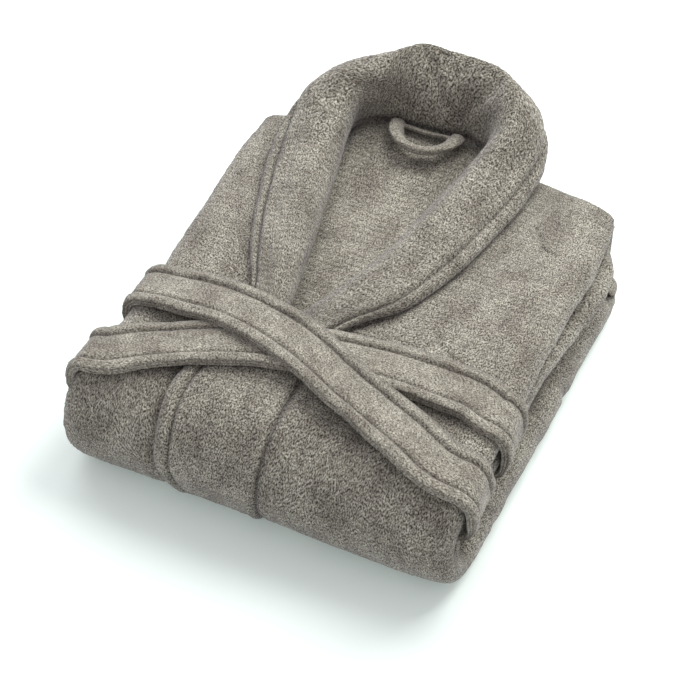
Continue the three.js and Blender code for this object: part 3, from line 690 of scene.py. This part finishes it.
def front_band(name, low_x, high_x, depths, thick, edge_side, end):
    """A folded band down one front. Its free edge is rolled and topstitched. depths and thick
    are for its chest part and its skirt part, and end is where it stops under the collar."""
    path = waist_path(end, SKIRT_BACK, back_roll=SKIRT_ROLL)
    share = path[:, 4]
    width = high_x - low_x
    offsets = np.array([0, 1.2, 3, 5, 7, 8.6, 10, 11.3, 12.6, 14, 16, 19])
    rest = np.linspace(22, width - 4, int((width - 26) / FINE))
    columns = np.r_[offsets, rest, width - 2, width]
    x_line = low_x + columns if edge_side < 0 else high_x - columns
    x = np.broadcast_to(x_line, (len(path), len(columns)))
    depth = depths[0] + (depths[1] - depths[0]) * share
    points = lift(path, x, np.broadcast_to(depth[:, None], x.shape))
    out = 1 if edge_side < 0 else -1
    normals = grid_normals(points, out)
    over = undulation(points, 5, 0.8)
    over += 2.2 * groove(columns, BAND_ROLL, 9)[None] - 2.9 * groove(columns, BAND_STITCH, 3.8)[None]
    over += 0.8 * groove(columns, 17, 9)[None]
    over += 0.35 * groove(columns, BAND_STITCH, 4.2)[None] * noise(points, 4.0, 9)
    over -= 3.4 * groove(columns, width, 5)[None] - 1.1 * groove(columns, width - 7, 7)[None]
    points = points + normals * over[..., None]
    if edge_side < 0:
        points[..., 0] += band_sway(path)[:, None] * (1 - columns / width)[None]
    thickness = thick[0] + (thick[1] - thick[0]) * share[:, None]
    # painted shade in the stitch groove and along the band's far edge
    dark = 0.8 * groove(columns, BAND_STITCH, 2.8) + 0.9 * groove(columns, width, 4)
    return shell(name, points, np.broadcast_to(thickness, x.shape), VELOUR, out=out, seed=31,
                 dark=dark[None])


NECK_EDGES = [  # where the lapels lie on the neck cloth, in plan
    [(-43, -40), (-57, 25), (-74, 98), (-87, 165), (-97, 205), (-99, 240), (-80, 262)],
    [(-33, -40), (-10, 8), (10, 75), (26, 147), (40, 205), (50, 240), (30, 265)],
]
BACK_DEPTH = (23.0, 14.2)  # the back cloth lies this deep in the chest, and in the skirt
BACK_INSET = 14  # and ends this far inside the skirt's roll at the back


def back_cloth():
    """The robe's back inside the bundle, from the neck seam round the waist fold to the skirt."""
    path = waist_path(SHOULDER_BACK - 3, SKIRT_BACK - BACK_INSET, step=3.2)
    share = path[:, 4]
    left = CHEST_LEFT + 22 + (SKIRT_LEFT - CHEST_LEFT) * share
    right = CHEST_RIGHT - 28 + (SKIRT_RIGHT - CHEST_RIGHT) * share
    columns = np.linspace(0, 1, 130)
    x = left[:, None] + (right - left)[:, None] * columns[None]
    depth = BACK_DEPTH[0] + (BACK_DEPTH[1] - BACK_DEPTH[0]) * share
    points = lift(path, x, np.broadcast_to(depth[:, None], x.shape))
    top = (share < 0.5)[:, None]
    inside = ease(points[..., 0], -120, -92) * (1 - ease(points[..., 0], 42, 70))
    rise = ease(points[..., 1], 130, SHOULDER_BACK + 6) * inside * top
    points[..., 2] += (CHEST_TOP - 1 - (STACK - BACK_DEPTH[0])) * rise
    points[..., 1] += 13 * rise ** 2
    normals = grid_normals(points, 1)
    opened = ease(points[..., 1], -60, 0) * top
    over = undulation(points, 8, 1.6) * opened
    folds = noise(points, (34, 90, 60), 14) * 1.6 * opened * inside
    points = points + normals * (over + folds)[..., None]
    points = np.where(top[..., None], round_corners(points, CHEST_LEFT + 12, CHEST_RIGHT - 12,
                                                    [SHOULDER_BACK - 14] * 2), points)
    # painted shade on the neck cloth along the lapels' edges
    shade = 0
    for line in NECK_EDGES:
        shade = shade + 0.38 * groove(near_line(points, line), 0, 14) * top
    return shell("back_cloth", points, 11.0 - 3.0 * share[:, None], LOOP_TERRY, out=1, seed=41,
                 dark=shade)


def ride(obj, body, slot, *nodes):
    """The piece moves with the body and replaces the nodes. slot is not used."""
    if body:
        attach(obj, body)
    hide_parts(*nodes)
    return obj


front_right = front_panel(1)
front_left = front_panel(-1)
band_right = front_band("band_right", BAND_LEFT, BAND_RIGHT, (0, 0), (9.8, 7.2), -1, -48)
band_left = front_band("band_left", BAND_LEFT + 2, BAND_RIGHT - 3, (13.0, 8.6), (8.4, 4.2), 1, -58)
back = back_cloth()
for piece, slot, nodes, flat, under in (
    (front_right, VELOUR_SLOT, ("front_panel_right", "skirt_front_right"), (0.34, 0.95), "back_cloth"),
    (front_left, VELOUR_SLOT, ("front_panel_left", "skirt_front_left"), (0.28, 0.95), "back_cloth"),
    (band_right, VELOUR_SLOT, ("front_band_right", "skirt_band_right"), (0.10, 0.78), "band_left"),
    (band_left, VELOUR_SLOT, ("front_band_left", "skirt_band_left"), (0.095, 0.78), "back_cloth"),
    (back, TERRY_SLOT, ("back_panel", "skirt_back"), (0.37, 0.93), "hem_third"),
):
    waist_blend(piece)
    ride(piece, None, slot, *nodes)


# Shawl collar

# Each station: a point at the neck seam or inner edge, one on the roll and one at the free edge,
# and how far the roll leans in over the neck there.
COLLAR = [
    ((-37, -66, 110), (-27, -63, 120), (-3, -64, 117), 0),
    ((-31, -36, 106), (-19, -37, 124), (20, -30, 119.5), 0),
    ((-12, 8, 100), (2, 8, 129), (50, 3, 120), 0),
    ((8, 75, 99), (23, 74, 133), (79, 70, 121), 0),
    ((24, 147, 99), (40, 145, 139), (96, 135, 123), 0),
    ((38, 205, 100), (56, 201, 150), (108, 190, 127), 1),
    ((48, 236, 100), (72, 243, 172), (110, 236, 131), 5),
    ((47, 254, 99), (66, 270, 187), (96, 278, 133), 7),
    ((28, 265, 98), (44, 287, 191), (56, 301, 136), 1),
    ((-12, 266, 98), (-12, 295, 194), (-10, 309, 138), 0),
    ((-44, 265, 98), (-48, 292, 195), (-56, 308, 138), -1),
    ((-64, 264, 98), (-66, 285, 193), (-88, 303, 136), 5),
    ((-88, 258, 99), (-97, 268, 187), (-132, 283, 133), 24),
    ((-101, 237, 100), (-121, 240, 172), (-159, 234, 130), 22),
    ((-97, 205, 100), (-113, 202, 150), (-161, 191, 126), 9),
    ((-87, 165, 99), (-102, 162, 138), (-154, 148, 123), 2),
    ((-74, 98, 99), (-89, 96, 133), (-135, 82, 121), 0),
    ((-57, 25, 100), (-71, 24, 129), (-107, 12, 120), 0),
    ((-46, -33, 106), (-60, -31, 124), (-88, -27, 119), 0),
    ((-45, -64, 110), (-57, -60, 119), (-80, -58, 117), 0),
]
COLLAR_ROLL, COLLAR_STITCH = 5.2, 11.5  # the free edge's crown and its stitches, from the edge
STAND_CREASES = ((-6, 0.9, 1.8), (16, -0.8, 1.5), (-40, -0.5, 1.2))  # (x, lean, depth)
STAND_MIDDLE = 150  # the height at which a crease is at its x


def collar_section(inner, roll, edge, lean):
    """Control points across the collar at one station."""
    inner, roll, edge = (np.array(p, float) for p in (inner, roll, edge))
    outward = unit((edge - inner) * (1, 1, 0))
    up = np.array([0, 0, 1.0])
    rise, fall = roll[2] - inner[2], roll[2] - edge[2]
    slump = -lean * outward - 0.35 * lean * up
    return [
        inner + outward * 6,
        inner + (roll - inner) * 0.34 - outward * (2.5 + 0.10 * rise) + 0.1 * slump,
        inner + (roll - inner) * 0.74 - outward * (4.5 + 0.09 * rise) + 0.6 * slump,
        roll + outward * 3.0 + slump,
        roll + (edge - roll) * 0.27 + outward * 1.5 + up * (0.15 * fall + 1.5) + 0.45 * slump,
        roll + (edge - roll) * 0.55 + outward * (1 + 0.07 * fall) + up * (0.11 * fall + 2.0),
        roll + (edge - roll) * 0.82 + outward * 1.0 + up * (0.04 * fall + 1.8),
        edge,
    ]


def collar():
    """The shawl collar: both lapels, the stand and its fall in one piece of cloth."""
    control = np.array([collar_section(*station) for station in COLLAR])
    stations = evenly(control, 2.6)
    lines = catmull(control, stations)
    across = evenly(lines.transpose(1, 0, 2), 2.2)
    points = catmull(lines.transpose(1, 0, 2), across).transpose(1, 0, 2)
    normals = grid_normals(points, 1)
    if normals[len(normals) // 2, 4, 1] > 0:
        normals = -normals
    from_edge = lengths(points, 1)[-1] - lengths(points, 1)
    over = undulation(points, 17, 1.9)
    over += 1.9 * groove(from_edge, COLLAR_ROLL, 9)[None]
    over -= 3.0 * groove(from_edge, COLLAR_STITCH, 4.2)[None]
    over += 1.1 * groove(from_edge, 18.5, 11)[None]
    over += 0.5 * groove(from_edge, COLLAR_STITCH, 4.4)[None] * noise(points, 5, 21)
    from_base = lengths(points, 1)[None] + 0 * over
    inside = (1 - ease(from_base, 50, 66)) * ease(from_base, 8, 24) * ease(points[..., 1], 236, 262)
    for x_at, lean, depth in STAND_CREASES:
        line = points[..., 0] + lean * (points[..., 2] - STAND_MIDDLE)
        over -= depth * inside * (groove(line, x_at, 12) - 0.7 * groove(line, x_at + 11, 14))
    # painted shade in the stitch groove, along the collar's base and at the neck seam behind the stand
    dark = 0.75 * groove(from_edge, COLLAR_STITCH, 2.8)[None] + 0 * over
    dark += 0.30 * (1 - ease(from_base, 6, 22))
    dark += 0.8 * groove(points[..., 2], 117, 6) * (1 - ease(from_base, 30, 40)) * (
        points[..., 1] > 225)
    points = points + normals * over[..., None]
    out = 1 if np.sum(normals * grid_normals(points, 1)) > 0 else -1
    thick = 8.6 + 1.6 * groove(from_edge, 0, 14)[None] - 5.0 * groove(across, 3.1, 2.2)[None]
    thick = thick + np.zeros(points.shape[:2])
    return shell("shawl_collar", points, thick, COLLAR_TERRY, out=out, rim=6, pile=0.28, seed=51,
                 dark=dark)


shawl = collar()
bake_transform(shawl)
ride(shawl, None, VELOUR_SLOT, "lapel_left", "lapel_right", "collar_stand")


# Straps

STRAP_STITCH = 9.0  # a strap's row of stitches, from its edge
STITCH_PITCH = 5.2
STRAP_CROWN = 2.0  # how far it stands out between the stitches and its edge
STRAP_STEP, STRAP_SEED = 2.6, 61
PRESSED = 0.55  # share of its thickness that a strap keeps where the bundle lies on it


def strap_section(width, thickness):
    """Closed outline of a stitched strap as (across, out) pairs, top first, and the painted shade in its
    stitch grooves and between its edge ribs.
    """
    half, t = width / 2, thickness / 2
    u = np.r_[-half, -half + np.array([0.8, 1.8, 3.2, 4.8, 6.2, 7.4, 8.4, 9.2, 10.2, 11.6]),
              np.linspace(-half + 13.5, half - 13.5, 9),
              half - np.array([11.6, 10.2, 9.2, 8.4, 7.4, 6.2, 4.8, 3.2, 1.8, 0.8]), half]
    from_edge = half - np.abs(u)
    face = t + STRAP_CROWN * groove(from_edge, 4.2, 8.0) - 1.9 * groove(from_edge, STRAP_STITCH, 3.0)
    face += 0.5 * groove(from_edge, 0, 3.0)
    side = np.linspace(1, -1, 15)[1:-1]
    ribs = 1.7 * np.abs(np.cos(side * 1.5 * math.pi)) ** 0.8
    tall = face[-1]
    # painted shade in the stitch grooves and between the ribs of the cut edges
    shade = 0.75 * groove(from_edge, STRAP_STITCH, 2.4)
    rib_shade = 0.7 * (1 - ribs / 1.7) ** 2
    right = np.stack([half + 0.3 + ribs, side * tall], 1)
    left = np.stack([-half - 0.3 - ribs, -side * tall], 1)
    top = np.stack([u, face], 1)
    bottom = np.stack([u[::-1], -face[::-1]], 1)
    return (np.concatenate([top, right, bottom, left]),
            np.concatenate([shade, rib_shade, shade, rib_shade]))


def strap_frame(stations, step):
    """A strap's middle line, the way that it faces and the way across it, from stations that are
    each a centre point and a direction."""
    centres = np.array([station[0] for station in stations], float)
    faces = np.array([station[1] for station in stations], float)
    places = evenly(centres, step)
    path, face = catmull(centres, places), catmull(faces, places)
    along = unit(np.gradient(path, axis=0))
    face = unit(face - along * np.sum(face * along, axis=1, keepdims=True))
    return path, face, np.cross(face, along)


def strap(name, stations, width, thickness, material, wobble):
    """A stitched strap with ribbed edges, as uneven as wobble says."""
    path, face, across = strap_frame(stations, STRAP_STEP)
    section, dark = strap_section(width, thickness)
    u, v = section[:, 0], section[:, 1]
    pressed = PRESSED + (1 - PRESSED) * ease(path[:, 2], 68, 92)
    rings = path[:, None] + across[:, None] * u[None, :, None]
    rings += face[:, None] * (pressed[:, None] * v[None])[..., None]
    length = lengths(path[:, None], 0)
    at = np.stack(np.broadcast_arrays(length[:, None], u[None], v[None]), -1)
    edge = ease(np.abs(u), width / 2 - 14, width / 2)[None]
    lift_out = wobble * pressed[:, None] * (
        0.9 * noise(at, (26, 30, 400), STRAP_SEED) * (0.4 + edge)
        + 0.45 * noise(at, (9, 14, 400), STRAP_SEED + 1))
    sideways = wobble * 0.9 * noise(at, (38, 200, 400), STRAP_SEED + 2) * edge * np.sign(u)[None]
    tufts = np.random.default_rng(STRAP_SEED).normal(0, 0.16, (len(path), len(u)))
    stitches = 0.35 * np.sign(np.sin(length * 2 * math.pi / STITCH_PITCH))
    seam = groove(width / 2 - np.abs(u), STRAP_STITCH, 3.0)[None] * stitches[:, None] * np.sign(v)[None]
    rings += face[:, None] * (lift_out + tufts * np.sign(v)[None] + seam)[..., None]
    rings += across[:, None] * (sideways + 0.8 * tufts * (np.abs(u) > width / 2)[None])[..., None]
    return tube(name, rings, material, dark[None])


BELT_WIDTH, BELT_THICKNESS = 48, 7.5
BELT_CORNER = 13  # radius of its turn from a side fold to the hidden run
BELT_SHOULDER = 20  # and of the rounder turn from the top of the bundle to its side
BELT_PROUD = 4.8  # its middle line lies this far outside a side fold
BELT_TOP, BELT_RUN = 117, 61.2  # height where it turns down a side, and of its hidden run
TUCK_Y, OVER_LEFT_Y, UNDER_RIGHT_Y = -149, -57, -74  # where it passes the side folds
TUCK_END_Y, TUCK_LENGTH = -136, 32  # each end stops here, this far past its turn
UP, DOWN = (0, 0, 1), (0, 0, -1)
OVER_SPAN = ((158, -152, 119.5), (113, -135, 125), (53, -112, 130.5), (-17, -80, 133),
             (-95, -62, 130), (-143, -58, 122.5))  # right front to left, over the other span
UNDER_SPAN = ((156, -68, 118.5), (118, -65, 119), (60, -68, 122), (-3, -80, 124), (-55, -93, 124),
              (-103, -112, 121.5), (-143, -131, 119))


def belt_side(side, y):
    """The belt's middle line where it passes a side fold."""
    line = RIGHT_CHEST_SIDE if side > 0 else LEFT_CHEST_SIDE
    return CHEST_HALF + BELT_PROUD - wander(line, np.array([y]))[0]


def belt_turn(side, y, z, up, from_top):
    """A quarter turn of the belt round a side fold."""
    turns = [90, 60, 30, 0] if from_top else [0, 30, 60, 90]
    radius = BELT_SHOULDER if up > 0 else BELT_CORNER
    stations = []
    for degrees in turns:
        angle = math.radians(degrees)
        n = (side * math.cos(angle), 0, up * math.sin(angle))
        stations.append(((side * (belt_side(side, y) - radius) + radius * n[0], y,
                          z - up * radius + radius * n[2]), n))
    return stations


TUCK_X = belt_side(1, TUCK_Y) - BELT_CORNER - TUCK_LENGTH
belt_route = [
    ((TUCK_X, TUCK_END_Y, BELT_RUN), DOWN),
    *belt_turn(1, TUCK_Y, BELT_RUN, -1, True),
    *belt_turn(1, TUCK_Y - 3, BELT_TOP, 1, False),
    *[(point, UP) for point in OVER_SPAN],
    *belt_turn(-1, OVER_LEFT_Y, BELT_TOP, 1, True),
    *belt_turn(-1, OVER_LEFT_Y, BELT_RUN, -1, False),
    ((0, (OVER_LEFT_Y + UNDER_RIGHT_Y) / 2, BELT_RUN), DOWN),
    *belt_turn(1, UNDER_RIGHT_Y, BELT_RUN, -1, True),
    *belt_turn(1, UNDER_RIGHT_Y, BELT_TOP, 1, False),
    *[(point, UP) for point in UNDER_SPAN],
    *belt_turn(-1, TUCK_Y, BELT_TOP - 1, 1, True),
    *belt_turn(-1, TUCK_Y, BELT_RUN, -1, False),
    ((-TUCK_X, TUCK_END_Y, BELT_RUN), DOWN),
]
belt = strap("belt_strap", belt_route, BELT_WIDTH, BELT_THICKNESS, STRAP_TERRY, wobble=1.5)
ride(belt, "belt", VELOUR_SLOT, "belt")


KEEPER_SECTION = ((-1, 0), (-0.86, 1), (-0.6, 0.62), (0, 0.8), (0.6, 0.62), (0.86, 1), (1, 0),
                  (0.86, -1), (0.6, -0.62), (0, -0.8), (-0.6, -0.62), (-0.86, -1))
KEEPER_THICKNESS = 1.6


def belt_loop(side):
    """A narrow tape bridging the belt's hidden run, its two ends sewn to the robe."""
    low, high = placed("belt_loop_right" if side > 0 else "belt_loop_left")
    x, y = (low[0] + high[0]) / 2, (low[1] + high[1]) / 2
    half = (high[1] - low[1]) / 2 - 1
    bottom, top = low[2] + 0.8, high[2] - 0.5
    path, face, across = strap_frame([
        ((x, y - half, top), (0, -1, 0)), ((x, y - half, bottom + 3), (0, -1, -0.2)),
        ((x, y - half + 3, bottom), (0, -0.3, -1)), ((x, y, bottom), DOWN),
        ((x, y + half - 3, bottom), (0, 0.3, -1)), ((x, y + half, bottom + 3), (0, 1, -0.2)),
        ((x, y + half, top), (0, 1, 0))], 2.0)
    section = np.array(KEEPER_SECTION) * ((high[0] - low[0]) / 2, KEEPER_THICKNESS / 2)
    u, v = section[None, :, :1], section[None, :, 1:]
    rings = path[:, None] + across[:, None] * u + face[:, None] * v
    return tube("belt_keeper_right" if side > 0 else "belt_keeper_left", rings, STRAP_TERRY)


for side, node_name in ((-1, "belt_loop_left"), (1, "belt_loop_right")):
    keeper = belt_loop(side)
    ride(keeper, "chest", VELOUR_SLOT, node_name)


# Soft pieces folded inside the bundle

CUSHION_STEP = 3.4  # grid step
CUSHION_EDGE = 40  # the crown falls off over this far from the edge


def cushion(name, low, high, material, body, slot, node_name, crown=2.0, seed=71, waves=0.0,
            corner=0):
    """A flattened roll of cloth: a crowned face, and sides as round as the piece is thick."""
    thickness = high[2] - low[2]
    side = thickness / 2
    x = np.linspace(low[0] + side, high[0] - side, max(4, int((high[0] - low[0]) / CUSHION_STEP)))
    y = np.linspace(high[1] - side, low[1] + side, max(4, int((high[1] - low[1]) / CUSHION_STEP)))
    grid_y, grid_x = np.meshgrid(y, x, indexing="ij")
    points = np.stack([grid_x, grid_y, np.full(grid_x.shape, high[2])], -1)
    near = np.minimum(np.minimum(grid_x - x[0], x[-1] - grid_x),
                      np.minimum(y[0] - grid_y, grid_y - y[-1]))
    points[..., 2] += crown * (ease(near, 0, CUSHION_EDGE) - 1)
    points[..., 2] += undulation(points, seed, 1.0) + waves * noise(points, (22, 70, 50), seed)
    if corner:
        points = round_corners(points, low[0], high[0], [high[1]] * 2, corner)
    thick = thickness - crown * (1 - ease(near, 0, CUSHION_EDGE))
    obj = shell(name, points, thick, material, out=1, rim=9, seed=seed)
    ride(obj, body, slot, node_name)
    return obj


def narrowed(low, high, left, right):
    """A CAD piece's corners with its sides brought in to left and right, where they pass them."""
    return np.array([max(low[0], left), *low[1:]]), np.array([min(high[0], right), *high[1:]])


SLEEVE_MARGIN = 24  # the chest's side folds lap over the sleeves this far
for side in ("left", "right"):
    corners = narrowed(*placed(f"sleeve_{side}"), CHEST_LEFT + SLEEVE_MARGIN, CHEST_RIGHT - SLEEVE_MARGIN)
    sleeve = cushion(f"folded_sleeve_{side}", *corners, VELOUR, "chest", VELOUR_SLOT,
                     f"sleeve_{side}", waves=1.2, seed=73)
    corners = narrowed(*placed(f"cuff_{side}"), CHEST_LEFT + SLEEVE_MARGIN - 1,
                       CHEST_RIGHT - SLEEVE_MARGIN + 1)
    cuff = cushion(f"turned_cuff_{side}", *corners, LOOP_TERRY, "chest", VELOUR_SLOT,
                   f"cuff_{side}", seed=75)

HEM_MARGIN = 33  # the skirt's side folds lap over the hem third this far
HEM_GAP = 5  # between the hem third and the skirt's turned-in cloth at the back
hem_left, hem_right = SKIRT_LEFT + HEM_MARGIN, SKIRT_RIGHT - HEM_MARGIN
hem_low, hem_high = narrowed(*placed("hem_third"), hem_left, hem_right)
hem_high[1] = SKIRT_BACK - SKIRT_ROLL - TURN_IN - HEM_GAP
hem = cushion("hem_third_cloth", hem_low, hem_high, LOOP_TERRY, "skirt", TERRY_SLOT,
              "hem_third", crown=1.0, seed=77, corner=SKIRT_CORNER)
hem_edge = cushion("hem_edge", *narrowed(*placed("hem_band"), hem_left, hem_right), VELOUR, "skirt",
                   VELOUR_SLOT, "hem_band", crown=1.0, seed=79)

POCKET_MARGINS = (30, 48)  # each pocket's outer part turns up with the skirt's side, unseen
for side in ("left", "right"):
    low, high = narrowed(*placed(f"pocket_{side}"), SKIRT_LEFT + POCKET_MARGINS[0],
                         SKIRT_RIGHT - POCKET_MARGINS[1])
    pocket = cushion(f"patch_pocket_{side}", low, high, VELOUR, "skirt", VELOUR_SLOT,
                     f"pocket_{side}", crown=0.4, seed=81)


# Hanging loop: a thick rolled strip sewn in at the neck seam

LOOP_ROUTE = [(-57, 258, 119), (-54.5, 247, 121.5), (-49, 235, 122), (-38, 225.5, 121.5),
              (-22, 221.5, 121), (-6, 226, 121.5), (5, 236, 122), (9, 247, 121.5), (10, 258, 119)]
ROOT_ROUTE = [(-60, 258, 113.5), (-52, 257, 116.5), (-38, 255.5, 117.5), (-22, 254.5, 117.5),
              (-8, 255.5, 117.5), (6, 257, 116.5), (15, 259, 113.5)]  # its strip along the seam
LOOP_RADIUS, ROOT_RADIUS = 8.4, 4.4  # half the strip's width
LOOP_FLATNESS = 0.55  # its thickness as a share of its width
LOOP_LEAN = -0.8  # radians that its broad side leans to the neck opening
LOOP_SIDES = 40


def rolled_strip(name, route, radius):
    """A rolled strip along its route, flattened, grooved along both sides and uneven."""
    path = catmull(np.array(route, float), evenly(np.array(route, float), 1.3))
    along = unit(np.gradient(path, axis=0))
    across = unit(np.cross(np.array([[0, 0, 1.0]]), along))
    face = np.cross(along, across)
    lean = LOOP_LEAN * np.abs(along[:, :1])
    across, face = (across * np.cos(lean) + face * np.sin(lean),
                    face * np.cos(lean) - across * np.sin(lean))
    angle = np.linspace(0, 2 * math.pi, LOOP_SIDES, endpoint=False)
    radius = radius - 0.9 * groove(np.abs(np.sin(angle)), 0.55, 0.22)
    u, v = radius * np.cos(angle), LOOP_FLATNESS * radius * np.sin(angle)
    at = np.stack(np.broadcast_arrays(lengths(path[:, None], 0)[:, None],
                                      u[None] * 2, v[None] * 2), -1)
    swell = 1 + 0.07 * noise(at, 7, 91) + 0.05 * noise(at, 2.4, 92)
    rings = path[:, None] + across[:, None] * (u[None] * swell)[..., None]
    rings += face[:, None] * (v[None] * swell)[..., None]
    return tube(name, rings, STRAP_TERRY)


hanger = rolled_strip("hanger_strip", LOOP_ROUTE, LOOP_RADIUS)
ride(hanger, "hanging_loop", VELOUR_SLOT, "hanging_loop")
hanger_root = rolled_strip("hanger_root", ROOT_ROUTE, ROOT_RADIUS)
ride(hanger_root, "chest", VELOUR_SLOT)


# Floor, lights and camera

FLOOR_HALF = 6.0  # metres
FLOOR_DROP = 0.0006  # it lies this far under the robe
FLOOR_COLOUR, FLOOR_GLOW, GLOW_STRENGTH = (0.90, 0.945, 0.93), (0.8, 1.0, 0.95), 0.14
AIM = (0, -0.05, 0.05)  # where the lamps point
LAMPS = (  # name, place, size in metres, power in watts, colour
    ("window", (0.45, 0.95, 1.45), 1.1, 31, (0.975, 1.0, 0.955)),
    ("fill", (-1.0, 0.9, 1.3), 1.4, 12, (0.97, 0.99, 1.0)),
)
ROOM_COLOUR, ROOM_STRENGTH = (0.985, 0.98, 1.0), 0.62
CAMERA_AZIMUTH, CAMERA_ELEVATION, CAMERA_DISTANCE = math.radians(24), math.radians(47), 1.4
CAMERA_TARGET, CAMERA_LENS, SENSOR_WIDTH = Vector((-0.001, -0.050, 0.055)), 75, 36


def turned_to(place, aim):
    """The rotation of a lamp or a camera at place that looks at aim."""
    return (Vector(aim) - Vector(place)).to_track_quat("-Z", "Y").to_euler()


def pale_table():
    """A plain pale floor with a faint glow, so that it stays white in the picture."""
    material = bpy.data.materials.new("white_table")
    material.use_nodes = True
    shader = material.node_tree.nodes["Principled BSDF"]
    shader.inputs["Base Color"].default_value = (*FLOOR_COLOUR, 1)
    shader.inputs["Roughness"].default_value = 0.75
    shader.inputs["Emission Color"].default_value = (*FLOOR_GLOW, 1)
    shader.inputs["Emission Strength"].default_value = GLOW_STRENGTH
    mesh = bpy.data.meshes.new("floor")
    corners = [(x * FLOOR_HALF, y * FLOOR_HALF, 0) for x, y in ((-1, -1), (1, -1), (1, 1), (-1, 1))]
    mesh.from_pydata(corners, [], [(0, 1, 2, 3)])
    mesh.materials.append(material)
    floor = bpy.data.objects.new("floor", mesh)
    floor.location.z = -FLOOR_DROP
    bpy.context.scene.collection.objects.link(floor)


def soft_light():
    """Two broad lamps and a pale room."""
    for name, place, size, power, colour in LAMPS:
        data = bpy.data.lights.new(name, "AREA")
        data.shape = "RECTANGLE"
        data.size = data.size_y = size
        data.energy = power
        data.color = colour
        lamp = bpy.data.objects.new(name, data)
        lamp.location = place
        lamp.rotation_euler = turned_to(place, AIM)
        bpy.context.scene.collection.objects.link(lamp)
    world = bpy.data.worlds.new("studio")
    world.use_nodes = True
    background = world.node_tree.nodes["Background"]
    background.inputs["Color"].default_value = (*ROOM_COLOUR, 1)
    background.inputs["Strength"].default_value = ROOM_STRENGTH
    bpy.context.scene.world = world
    bpy.context.scene.view_settings.view_transform = "Standard"


def main_camera():
    """The camera, looking down on the robe's right front corner."""
    data = bpy.data.cameras.new("camera")
    data.lens = CAMERA_LENS
    data.sensor_width = SENSOR_WIDTH
    camera = bpy.data.objects.new("camera", data)
    back_off = Vector((math.sin(CAMERA_AZIMUTH) * math.cos(CAMERA_ELEVATION),
                       -math.cos(CAMERA_AZIMUTH) * math.cos(CAMERA_ELEVATION),
                       math.sin(CAMERA_ELEVATION)))
    camera.location = CAMERA_TARGET + back_off * CAMERA_DISTANCE
    camera.rotation_euler = turned_to(back_off, (0, 0, 0))
    bpy.context.scene.collection.objects.link(camera)
    bpy.context.scene.camera = camera


pale_table()
soft_light()
main_camera()
